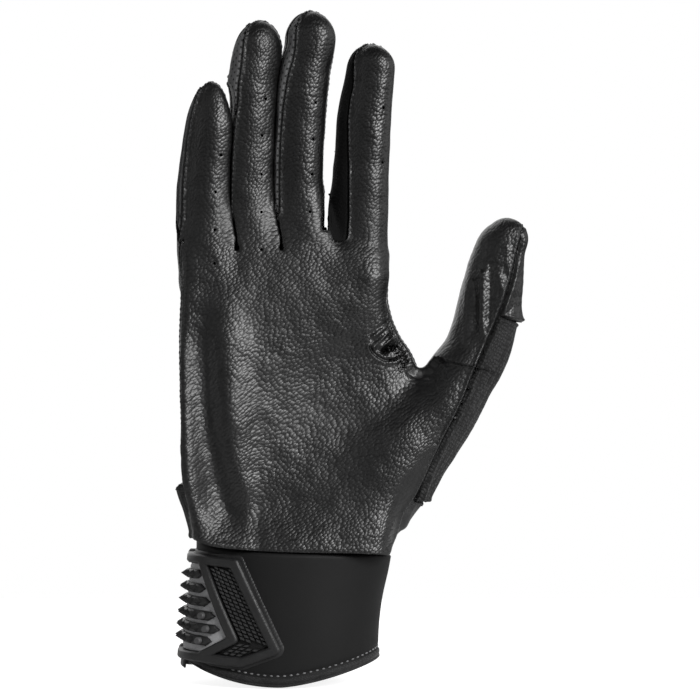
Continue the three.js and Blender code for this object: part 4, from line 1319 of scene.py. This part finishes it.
CUFF_TOP = 46.0
WRIST_CENTRE, WRIST_HALF = 3.2, 34.7
HEM_CENTRE, HEM_HALF = -1.2, 34.9
CUFF_DEPTH = 24.0
CUFF_POWER = 2.2
HEM_RISE = {"ulnar": 8.3, "thumb": 8.4, "back": 7.0}
HEM_HEIGHT = 3.1
WAIST = [(0, 1.2), (8, 1.4), (22, 2.0), (29, 1.8), (41, 0.4), (46, 0)]  # at the thumb's side
TUCK = 2.0  # how far the cuff slips in under the palm's hem
HEM_SECTION = [  # lift off the cuff and height above its lower edge, round the folded band
    (0.0, 3.1), (0.4, 2.7), (0.46, 2.0), (0.36, 1.25), (0.1, 1.0), (0.46, 0.72), (0.58, 0.4), (0.4, 0.1),
    (0, 0), (-2.4, 0), (-2.8, 0.3), (-2.9, 1.0), (-2.85, 2.6), (-2.4, 3.1),
]


def rounded(value):
    return np.sign(value) * np.abs(value) ** (2 / CUFF_POWER)


def cuff_point(z, angle, lift=0.0):
    z, angle, lift = np.broadcast_arrays(np.asarray(z, float), angle, lift)
    turn = np.radians(angle)
    side, front = rounded(np.sin(turn)), rounded(np.cos(turn))
    rise = np.clip(z / CUFF_TOP, 0, 1)
    centre, half = lerp(HEM_CENTRE, WRIST_CENTRE, rise), lerp(HEM_HALF, WRIST_HALF, rise)
    waist = profile(WAIST, z) * np.maximum(0, np.sin(turn)) ** 2
    slope = CUFF_POWER - 1
    across = np.sign(side) * np.abs(side) ** slope / half
    inward = -np.sign(front) * np.abs(front) ** slope / CUFF_DEPTH
    out = unit(np.stack([across, inward, 0 * z], -1))
    ring = np.stack([centre + half * side - waist, -CUFF_DEPTH * front, z], -1)
    return ring + out * lift[..., None]


def hem_height(angle):
    """Height of the cuff's lower edge."""
    sine, cosine = np.sin(np.radians(angle)), np.cos(np.radians(angle))
    share = np.abs(sine) ** np.where(sine < 0, 1.8, 1.3)
    side = np.where(sine < 0, HEM_RISE["ulnar"], HEM_RISE["thumb"])
    return np.where(cosine > 0, side * share, lerp(HEM_RISE["back"], side, share))


def grid_faces(rows, columns):
    """Triangles over a grid of points, facing the side from which rows run up and columns right."""
    corner = np.arange(rows * columns).reshape(rows, columns)
    low, high = corner[:-1], corner[1:]
    a, b, c, d = (part.ravel() for part in (low[:, :-1], low[:, 1:], high[:, 1:], high[:, :-1]))
    return np.vstack([np.stack([a, b, c], 1), np.stack([a, c, d], 1)])


def crisp(item, degrees=38):
    """Edges sharper than an angle are shaded as edges."""
    item.data.set_sharp_from_angle(angle=math.radians(degrees))
    return item


def cuff_side(name, low, high):
    """Half of the cuff, between two angles, with its top under the palm's hem."""
    angle = np.linspace(low, high, 130)
    place = cuff_point(CUFF_TOP, angle)
    top = profile(PALM_HEM, place[:, 0])
    rise = np.linspace(0, 1, 60)[:, None]
    height = lerp(hem_height(angle) + HEM_HEIGHT, top + 4.5, rise)
    tuck = TUCK * smoothstep(height - top, -1.3, 0.2)
    groove = 0.35 * bell(height - hem_height(angle) - HEM_HEIGHT - 0.9, 0.6)
    lift = 0.12 * np.sin(angle / 17) * np.sin(height / 9) - tuck - groove
    layers = [cuff_point(height, angle, lift - wall).reshape(-1, 3) for wall in (0, NEOPRENE)]
    item = mesh_object(name, *closed(*layers, grid_faces(*height.shape)), CUFF_NEOPRENE)
    return crisp(item, 60)


def hem_side(name, low, high):
    """Half of the folded band along the cuff's lower edge."""
    angle = np.linspace(low, high, 150)
    lift, rise = np.array(HEM_SECTION).T
    ring = cuff_point(hem_height(angle) + rise[:, None], angle, lift[:, None])
    count, steps = len(HEM_SECTION), len(angle)
    faces = grid_faces(count + 1, steps)[:, ::-1] % (count * steps)
    starts = np.arange(count) * steps
    fan = np.stack([np.zeros(count - 2, int), np.arange(1, count - 1), np.arange(2, count)], 1)
    ends = [starts[fan], starts[fan][:, ::-1] + steps - 1]
    item = mesh_object(name, ring.reshape(-1, 3), np.vstack([faces, *ends]), BINDING)
    return crisp(item, 60)


SIDE_GAP = 0.03  # degrees between the two halves
CUFF_CUT = (0.098, 0.046)  # metres, each half laid flat
for side, low, high in (("palm", -90, 90), ("back", 90, 270)):
    cuff = cuff_side(f"cuff_{side}", low + SIDE_GAP, high - SIDE_GAP)
    fitted(cuff, "hand", "neoprene", f"cuff_{side}_side")
    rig.sheet(cuff, flat=CUFF_CUT, held="stretched")
    hem = hem_side(f"hem_{side}", low + SIDE_GAP, high - SIDE_GAP)
    fitted(hem, "hand", "hem_binding", f"hem_binding_{side}_side")


# Closure: pieces on the cuff by length round it, from the little finger's edge towards the palm, and height

CLOSURE_LEVEL = 23.0  # height at which lengths round the cuff are measured
TOP_LEFT, INNER_TOP, TOP_CORNER, TIP = (-3.4, 44), (14.2, 44), (27.6, 43), (44.6, 13.2)
BOTTOM_CORNER, INNER_BOTTOM, BOTTOM_LEFT, ELBOW = (33.4, 8.9), (17.6, 10.0), (-3.4, 10.2), (29.8, 16.6)
BAR_WIDTH, BAR_HEIGHT, BAR_BEVEL = 3.3, 2.8, 0.8
KNOB = 2.5  # radius of the bars' round ends
SEAT = 0.3  # of the mouldings over the cuff

ring_angle = np.arange(-360.0, 181.0)
ring_steps = np.linalg.norm(np.diff(cuff_point(CLOSURE_LEVEL, ring_angle), axis=0), axis=1)
ring_length = np.concatenate([[0], np.cumsum(ring_steps)])
ring_length -= np.interp(-90, ring_angle, ring_length)


def on_cuff(length, z, lift):
    return cuff_point(z, np.interp(length, ring_length, ring_angle), lift)


def within(corners, margin=0.0):
    return lambda u, v: polygon_distance(u, v, corners) + margin


def box_round(corners, margin=1.0):
    u, v = np.array(corners, float).T
    return u.min() - margin, v.min() - margin, u.max() + margin, v.max() + margin


def moulded(box, step, field, top, base=SEAT):
    """A closed body on the cuff where a field of length and height is negative, up to its top."""
    u, v = np.meshgrid(np.arange(box[0], box[2] + step, step), np.arange(box[1], box[3] + step, step))
    flat = np.stack([u.ravel(), v.ravel(), 0 * u.ravel()], 1)
    flat, faces = cut(flat, grid_faces(*u.shape), field(flat[:, 0], flat[:, 1]))
    middle = flat[faces].mean(1)
    flat, faces = compact(flat, faces[field(middle[:, 0], middle[:, 1]) < 0])
    u, v = flat[:, 0], flat[:, 1]
    outer = on_cuff(u, v, top(u, v, np.maximum(0, -field(u, v))))
    inner = on_cuff(u, v, base(u) if callable(base) else base)
    return closed(outer, inner, faces)


def bevelled(height, bevel, drop=0.8):
    """A flat top with rounded edges."""
    return lambda u, v, inside: height - drop * bevel * (1 - np.clip(inside / bevel, 0, 1)) ** 2


def tube_faces(count, levels):
    """Faces of a closed tube of rings, one level after another."""
    turn = np.arange(count)
    faces = []
    for start in range(0, (levels - 1) * count, count):
        a, b = turn + start, (turn + 1) % count + start
        faces += [np.stack([a, b, b + count], 1), np.stack([a, b + count, a + count], 1)]
    fan = np.stack([np.zeros(count - 2, int), turn[1:-1], turn[2:]], 1)
    return np.vstack([*faces, fan[:, ::-1], fan + (levels - 1) * count])


def stacked(centre, outline, levels):
    """A closed stud on the cuff: its outline scaled at each level, given as (scale, lift) from below."""
    outline = np.array(outline)
    rings = [on_cuff(*(centre + outline * scale).T, lift) for scale, lift in levels]
    return np.vstack(rings), tube_faces(len(outline), len(levels))


def joined(bodies):
    """Several bodies as one list of points and faces."""
    starts = np.cumsum([0] + [len(points) for points, _ in bodies])
    faces = [faces + start for (_, faces), start in zip(bodies, starts)]
    return np.vstack([points for points, _ in bodies]), np.vstack(faces)


def closure_piece(name, material, bodies, body, slot, *nodes, sharp=32):
    item = crisp(mesh_object(name, *joined(bodies), material), sharp)
    return fitted(item, body, slot, *nodes)


FRAME_LINE = [BOTTOM_LEFT, INNER_BOTTOM, BOTTOM_CORNER, TIP, TOP_CORNER, INNER_TOP, TOP_LEFT]
INNER_LINE = [INNER_BOTTOM, ELBOW, INNER_TOP]
KNURL = [INNER_BOTTOM, BOTTOM_CORNER, TIP, TOP_CORNER, INNER_TOP, ELBOW]
WINDOW = [BOTTOM_LEFT, INNER_BOTTOM, ELBOW, INNER_TOP, TOP_LEFT]


def frame_field(u, v):
    bars = np.minimum(line_distance(u, v, FRAME_LINE), line_distance(u, v, INNER_LINE)) - BAR_WIDTH / 2
    ends = [np.hypot(u - x, v - z) - KNOB for x, z in (TOP_LEFT, BOTTOM_LEFT)]
    return np.minimum(bars, np.minimum(*ends))


bars = moulded(box_round(FRAME_LINE, 4), 0.45, frame_field, bevelled(SEAT + BAR_HEIGHT, BAR_BEVEL))
closure_piece("closure_bars", RUBBER, [bars], "hand", "rubber", "closure_frame")

FLANGE, FLANGE_TOP = 1.3, 0.4  # thin foot of the frame, seen outside its bars
FLANGE_OUTLINE = [(0, 8.8), INNER_BOTTOM, BOTTOM_CORNER, TIP, TOP_CORNER, (0, 44)]
TAIL = [(2.4, 5.9), (8.0, 5.4), (8.6, 9.2), (2.4, 9.2)]  # end of the strap below the frame
foot_field = within(FLANGE_OUTLINE, -BAR_WIDTH / 2 - FLANGE)
foot = moulded(box_round(FLANGE_OUTLINE, 6), 0.6, foot_field, bevelled(FLANGE_TOP, 0.4), 0.05)
tail = moulded(box_round(TAIL), 0.4, within(TAIL), bevelled(1.7, 0.4), 0.7)
closure_piece("closure_flange", RUBBER, [foot, tail], "hand", "rubber")

CELL_PITCH = (2.35, 1.8)  # of the knurled cells, across and along their columns
CELL_SIZE = (1.75, 1.3)
CELL_ROW = (0.94, -0.34)  # heading of a row
CELL_START = (0.9, 0.3)  # pitches from the elbow to the first cell
CELL_GAP = 0.5  # from a cell's middle to the bar beside it
SQUARE = [(-1, -1), (1, -1), (1, 1), (-1, 1)]
CELL_LEVELS = [(1.0, SEAT + 0.5), (1.0, SEAT + 1.3), (0.86, SEAT + 1.7), (0.74, SEAT + 1.8)]


def knurl_cells():
    """Raised cells in columns beside the inner bar, mirrored at its elbow."""
    elbow = np.array(ELBOW)
    bend = unit(np.subtract(TIP, ELBOW))
    column = unit(np.subtract(INNER_TOP, ELBOW))
    row = unit(np.array(CELL_ROW))
    cell = np.array([row * a * CELL_SIZE[0] + column * b * CELL_SIZE[1] for a, b in SQUARE]) / 2
    cells = []
    for mirrored in (False, True):
        outline = (2 * bend * (cell @ bend)[:, None] - cell)[::-1] if mirrored else cell
        for i in range(8):
            for j in range(-10, 24):
                across, up = (i + CELL_START[0]) * CELL_PITCH[0], (j + CELL_START[1]) * CELL_PITCH[1]
                along = row * across + column * up
                if along[1] * bend[0] - along[0] * bend[1] < 0.35 * CELL_PITCH[1]:
                    continue
                if mirrored:
                    along = 2 * bend * (along @ bend) - along
                centre = elbow + along
                if polygon_distance(*centre, KNURL) < -BAR_WIDTH / 2 - CELL_GAP:
                    cells.append(stacked(centre, outline[::-1], CELL_LEVELS))
    return cells


# The plate between the knurled cells is painted shade, the cells themselves a painted highlight
plate = moulded(box_round(KNURL), 0.9, within(KNURL, BAR_WIDTH / 2 + 0.1), bevelled(SEAT + 0.7, 0.2))
closure_piece("closure_knurl_plate", KNURL_PAINTED_SHADE, [plate], "hand", "rubber")
closure_piece("closure_knurl", KNURL_PAINTED_LIGHT, knurl_cells(), "hand", "rubber", "closure_knurl_inset")

BED_TOP = 1.0
bed = moulded(box_round(WINDOW), 0.6, within(WINDOW, BAR_WIDTH / 2 + 0.1), bevelled(SEAT + BED_TOP, 0.3))
closure_piece("closure_bed", GREY_RUBBER, [bed], "hand", "grey_rubber", "closure_rib_bed")

RIBS = [  # height at the outer end, then length and height of the pointed inner end
    (38.2, 14.9, 38.7), (33.9, 16.9, 33.7), (29.5, 19.6, 29.2), (25.2, 22.2, 24.3), (20.7, 24.5, 19.8),
    (16.7, 21.9, 15.5),
]
RIB_HALF, RIB_POINT, RIB_TOP = 1.6, 2.3, 1.3
RIB_STARTS = (-2.6, -4.8)  # length at which the highest and the lowest one start
SPIKE_PITCH, SPIKE_RADIUS, SPIKE_TOP = 4.4, 1.35, 4.3
SPIKE_INSET, SPIKE_LEAST = 4.7, 1.4  # from a rib's inner end to the first spike, and from its outer end
STUD_RADIUS, STUD_TOP = SPIKE_RADIUS * 0.95, 2.6
STUDDED = 3  # from this rib on, the innermost spike is a flat stud
RIB_SEAT = SEAT + BED_TOP + 0.05
CIRCLE = [(math.cos(turn), math.sin(turn)) for turn in np.linspace(0, 2 * math.pi, 14, endpoint=False)]
DIAMOND = [(-1, 0), (0, -1), (1, 0), (0, 1)]


def rib_bodies(index):
    """A pointed bar with a row of sharp spikes, and the flat stud at its inner end or nothing."""
    low, length, high = RIBS[index]
    start, end = np.array((lerp(*RIB_STARTS, index / (len(RIBS) - 1)), low)), np.array((length, high))
    along = unit(end - start)
    aside = np.array((-along[1], along[0])) * RIB_HALF
    first, last = start + along * RIB_POINT, end - along * RIB_POINT
    corners = [tuple(p) for p in (start, first - aside, last - aside, end, last + aside, first + aside)]
    top = bevelled(RIB_SEAT + RIB_TOP, 0.7, 0.9)
    bodies = [moulded(box_round(corners), 0.4, within(corners), top, RIB_SEAT)]
    at = np.linalg.norm(end - start) - SPIKE_INSET
    foot = RIB_SEAT + RIB_TOP - 0.3
    flat = [(1.0, foot), (0.96, RIB_SEAT + STUD_TOP - 0.25), (0.84, RIB_SEAT + STUD_TOP)]
    studs = []
    if index >= STUDDED:
        studs.append(stacked(start + along * at, np.array(CIRCLE) * STUD_RADIUS, flat))
        at -= SPIKE_PITCH
    sharp = [(1.0, foot), (0.06, SEAT + SPIKE_TOP)]
    while at > SPIKE_LEAST:
        bodies.append(stacked(start + along * at, np.array(DIAMOND) * SPIKE_RADIUS * 1.15, sharp))
        at -= SPIKE_PITCH
    return bodies, studs


for index in range(len(RIBS)):
    spikes, studs = rib_bodies(index)
    rib = f"closure_rib_{index + 1}"
    closure_piece(rib + "_spikes", RUBBER, spikes, "hand", "rubber", rib, sharp=20)
    if studs:
        closure_piece(rib + "_stud", STUD_RUBBER, studs, "hand", "rubber")

TAB_FROM, TAB_TO, TAB_LOW, TAB_HIGH = -5.0, -58.0, 10.0, 41.0
TAB_LIFT, TAB_WALL = 3.45, 2.0
TAB = [(TAB_FROM, TAB_LOW), (TAB_FROM, TAB_HIGH), (TAB_TO + 5, TAB_HIGH - 4), (TAB_TO, TAB_HIGH - 8),
       (TAB_TO, TAB_LOW + 8), (TAB_TO + 5, TAB_LOW + 4)]
PATCH = [(-15, TAB_LOW + 4), (-15, TAB_HIGH - 4), (TAB_TO + 6.5, TAB_HIGH - 7), (TAB_TO + 3, TAB_HIGH - 10),
         (TAB_TO + 3, TAB_LOW + 10), (TAB_TO + 6.5, TAB_LOW + 7)]


def tab_seat(u):
    """Lift of the tab's underside, low at the hinge."""
    return lerp(TAB_LIFT, 0.6, smoothstep(u, -14, -6))


def tab_top(u, v, inside):
    edge = tab_seat(u) + TAB_WALL - 0.7 * (1 - np.clip(inside / 0.8, 0, 1)) ** 2
    groove = 0.45 * bell(inside - 2.6, 0.45)
    grips = sum(bell(u - TAB_TO - 4.5 - 3.2 * i, 0.8) for i in range(4))
    return edge - groove + grips * smoothstep(inside, 2.6, 4.2)


pull = moulded(box_round(TAB), 0.5, within(TAB), tab_top, tab_seat)
closure_piece("closure_pull_tab", RUBBER, [pull], "closure_tab", "rubber", "closure_tab")
for kind, body, low, high in (("hook", "closure_tab", 2.1, 3.1), ("loop", "hand", 0.3, 1.7)):
    patch = moulded(box_round(PATCH), 0.8, within(PATCH), bevelled(high, 0.5), low)
    node = f"closure_{kind}_patch"
    closure_piece(f"closure_{kind}s", HOOK_LOOP, [patch], body, "hook_and_loop", node)


# Stitches

STITCH_SIDES = 6
# Rings of a stitch: place along it, and share of its girth
STITCH_SHAPE = [(-0.5, 0.05), (-0.36, 0.75), (0, 1.0), (0.36, 0.75), (0.5, 0.05)]


def stitches(places, headings, normals, length, width, rise):
    """Closed thread stitches at places, along headings, standing out along normals."""
    aside = np.cross(normals, headings)
    turn = np.linspace(0, 2 * math.pi, STITCH_SIDES, endpoint=False)
    rings = []
    for along, share in STITCH_SHAPE:
        spread = aside[:, None] * (np.cos(turn) * share * width / 2)[:, None]
        height = normals[:, None] * (np.sin(turn) * share * rise)[:, None]
        sink = normals * (-0.35 * rise * (2 * abs(along)) ** 2)
        rings.append(places[:, None] + headings[:, None] * along * length + spread + height + sink[:, None])
    points = np.stack(rings, 1).reshape(len(places), -1, 3)
    starts = np.arange(len(places))[:, None, None] * points.shape[1]
    faces = tube_faces(STITCH_SIDES, len(STITCH_SHAPE))[None] + starts
    return points.reshape(-1, 3), faces.reshape(-1, 3)


def spaced(line, pitch):
    """Places at an even pitch along a line of points, and the line's headings there."""
    length = np.concatenate([[0], np.cumsum(np.linalg.norm(np.diff(line, axis=0), axis=1))])
    count = int((length[-1] - 0.3) / pitch)
    at = (np.arange(count) + 0.5) * length[-1] / max(count, 1)
    sample = lambda where: np.stack([np.interp(where, length, line[:, k]) for k in range(3)], 1)
    return sample(at), unit(sample(at + 0.4) - sample(at - 0.4))


def contour(values, level, chosen):
    """The skin's lines where values pass a level, in chosen triangles: points, normals and rest places."""
    above = values > level
    crossing = triangles[chosen]
    crossing = crossing[above[crossing].any(1) & ~above[crossing].all(1)]
    links = {}
    for face in crossing.tolist():
        pairs = [(face[i], face[i - 1]) for i in range(3)]
        one, other = [(min(pair), max(pair)) for pair in pairs if above[pair[0]] != above[pair[1]]]
        links.setdefault(one, []).append(other)
        links.setdefault(other, []).append(one)
    seen, lines = set(), []
    for start in sorted(links, key=lambda edge: len(links[edge])):
        line, step = [], start
        while step is not None and step not in seen:
            seen.add(step)
            line.append(step)
            step = next((edge for edge in links[step] if edge not in seen), None)
        if len(line) > 4:
            a, b = np.array(line).T
            share = ((level - values[a]) / (values[b] - values[a]))[:, None]
            lines.append([lerp(field[a], field[b], share) for field in (skin, skin_normals, points)])
    return lines


def sewn(label, rows, slot, pitch, **size):
    """Stitches along lines on the skin, one piece for each finger's base and tip."""
    found = []
    for line, normals, rest in rows:
        for _ in range(3):
            line[1:-1] = (line[:-2] + 2 * line[1:-1] + line[2:]) / 4
        places, headings = spaced(line, pitch)
        nearest = [np.argmin(np.linalg.norm(line - place, axis=1)) for place in places]
        for place, heading, i in zip(places, headings, nearest):
            found.append((place, heading, normals[i], rest[i]))
    if not found:
        return
    places, headings, normals, rest = (np.array(part) for part in zip(*found))
    owner, along = owner_of(rest)
    upper = (owner != HAND) & (above_split(owner, along) > 0)
    for holder, past in sorted(set(zip(owner.tolist(), upper.tolist()))):
        mine = (owner == holder) & (upper == past)
        body = "hand" if holder == HAND else f"{finger_names[holder]}_{'tip' if past else 'base'}"
        mesh = stitches(places[mine], headings[mine], normals[mine], **size)
        thread = mesh_object(f"{label}_{body}", *mesh, THREAD)
        hold(thread, holder, past)
        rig.slot(thread, slot)


SEAM_STITCH = {"pitch": 1.9, "length": 1.25, "width": 0.5, "rise": 0.14}
BACK_STITCH = {"pitch": 2.4, "length": 1.7, "width": 0.6, "rise": 0.28}
HEM_STITCH = {"length": 1.2, "width": 0.7, "rise": 0.42}
HEM_PITCH, HEM_ROW = 2.25, 0.9  # of the hem's stitches, and their height over the folded band
SEAM_INSET = 1.3
for holder, finger in enumerate(fingers):
    edges, _ = finger_seams(finger, points)
    front = (holders == holder) & (panel_names == "front")
    lines = contour(edges[0], SEAM_INSET, front) + contour(edges[2], SEAM_INSET, front)
    sewn(f"stitches_{finger.name}", lines, "palm_leather", **SEAM_STITCH)
front = ((holders == HAND) | (holders == THUMB)) & (panel_names == "front")
sewn("stitches_edge", contour(hand_seam(points), -SEAM_INSET, front), "palm_leather", **SEAM_STITCH)
for panel, field, inset in (("yoke", yoke_field, 1.6), ("insert", insert_field, 1.2)):
    lines = contour(field(points), -inset, (holders == HAND) & (panel_names == panel))
    sewn(f"stitches_{panel}", lines, "knuckle_leather", **BACK_STITCH)

for side, low, high in (("palm", -88, 88), ("back", 92, 268)):
    angle = np.linspace(low, high, 400)
    height = hem_height(angle) + HEM_HEIGHT + HEM_ROW
    row, headings = spaced(cuff_point(height, angle, -0.3), HEM_PITCH)
    outward = unit(row * (1, 1, 0) - (WRIST_CENTRE, 0, 0))
    mesh = stitches(row, headings, outward, **HEM_STITCH)
    fitted(mesh_object(f"hem_stitches_{side}", *mesh, PALE_THREAD), "hand", "hem_binding")


# Camera, light and floor

VIEW_POINT = (23.1, -1000.0, 117.3)
PHOTO_WIDTH = 249.0  # of the view where the glove stands
SENSOR = 36.0


def aimed(item, place, target):
    item.location = Vector(place) * MM
    item.rotation_euler = (Vector(target) - Vector(place)).to_track_quat("-Z", "Y").to_euler()
    bpy.context.scene.collection.objects.link(item)
    return item


lens = bpy.data.cameras.new("camera")
lens.sensor_width = SENSOR
lens.lens = SENSOR * -VIEW_POINT[1] / PHOTO_WIDTH
lens.clip_end = 20
bpy.context.scene.camera = aimed(
    bpy.data.objects.new("camera", lens), VIEW_POINT, (VIEW_POINT[0], 0, VIEW_POINT[2]))


MIDDLE = (20, 0, 120)


def softbox(name, azimuth, elevation, distance, size, power):
    """A soft lamp round the glove, seen from the camera's side at azimuth 0 and turned to the right."""
    lamp = bpy.data.lights.new(name, "AREA")
    lamp.shape = "RECTANGLE"
    lamp.size, lamp.size_y = size[0] * MM, size[1] * MM
    lamp.energy = power
    turn, rise = math.radians(azimuth), math.radians(elevation)
    heading = (math.sin(turn) * math.cos(rise), -math.cos(turn) * math.cos(rise), math.sin(rise))
    place = Vector(MIDDLE) + Vector(heading) * distance
    return aimed(bpy.data.objects.new(name, lamp), place, MIDDLE)


LAMPS = {  # azimuth, elevation, distance, size and watts
    "key_light": (31, 22, 900, (320, 320), 7.4),
    "wide_light": (54, 20, 1000, (1500, 1500), 3.2),
    "right_wall": (100, 10, 1000, (900, 1200), 2.8),
    "left_back": (-125, 10, 1000, (900, 1400), 1.2),
    "left_fill": (-74, 6, 1000, (300, 1200), 1.2),
    "front_fill": (-28, 22, 1000, (700, 700), 0.55),
    "back_light": (195, 30, 1000, (1300, 1300), 7),
}
for name, settings in LAMPS.items():
    softbox(name, *settings)

world = bpy.data.worlds.new("studio")
bpy.context.scene.world = world
world.use_nodes = True


def seen_directly(tree):
    """1 on rays that show the background itself: to the camera, and in gloss and glass."""
    path = add(tree, "LightPath")
    seen = maths(tree, "MAXIMUM", path.outputs["Is Camera Ray"], path.outputs["Is Glossy Ray"])
    return maths(tree, "MAXIMUM", seen, path.outputs["Is Transmission Ray"])


backdrop = world.node_tree.nodes["Background"]
backdrop.inputs["Color"].default_value = (1, 1, 1, 1)
strength = ranged(world.node_tree, seen_directly(world.node_tree), 0, 1, 0.3, 1.0)
world.node_tree.links.new(strength, backdrop.inputs["Strength"])


def stage_mesh(name, points, faces, material):
    mesh = bpy.data.meshes.new(name)
    mesh.from_pydata([Vector(point) * MM for point in points], [], faces)
    mesh.materials.append(material)
    item = bpy.data.objects.new(name, mesh)
    bpy.context.scene.collection.objects.link(item)
    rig.stage(item)
    return item


def stage_look(name, roughness, specular, shade):
    """A plain material that can glow white."""
    material, tree, shader = material_of(name, roughness, specular)
    shader.inputs["Base Color"].default_value = (shade, shade, shade, 1)
    shader.inputs["Emission Color"].default_value = (1, 1, 1, 1)
    return material, tree, shader


floor_look, tree, shader = stage_look("pale_floor", 0.9, 0.1, 0.6)
path = add(tree, "LightPath")
gloss = maths(tree, "MAXIMUM", path.outputs["Is Glossy Ray"], path.outputs["Is Transmission Ray"])
faint = ranged(tree, gloss, 0, 1, 0.0, 0.1)
glow = maths(tree, "MULTIPLY_ADD", path.outputs["Is Camera Ray"], 0.85, faint)
tree.links.new(glow, shader.inputs["Emission Strength"])
FLOOR_REACH = 330.0
floor_level = cad_low[2] / MM - 0.5
corners = [(x * FLOOR_REACH, y * FLOOR_REACH, floor_level) for x, y in SQUARE]
stage_mesh("floor", corners, [(0, 1, 2, 3)], floor_look)

DRAPE = 1800.0  # half the width of the room round the glove, which the camera sees through
corners = [(x * DRAPE, y * DRAPE, z) for z in (-50, 2 * DRAPE) for x, y in SQUARE]
for name, sides, glow in (
    ("dark_drape", [(0, 1, 5, 4), (1, 2, 6, 5), (3, 0, 4, 7), (4, 5, 6, 7), (0, 3, 2, 1)], 0.0),
    ("pale_backdrop", [(2, 3, 7, 6)], 0.25),
):
    look, _, shader = stage_look(name, 1.0, 0.0, 0.02)
    shader.inputs["Emission Strength"].default_value = glow
    stage_mesh(name, corners, sides, look).visible_camera = False

bpy.context.scene.view_settings.view_transform = "Standard"
visual_low, visual_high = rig.bounds()
with open("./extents.json", "w") as file:
    json.dump({"cad": [list(cad_low), list(cad_high)], "visual": [list(visual_low), list(visual_high)]}, file)
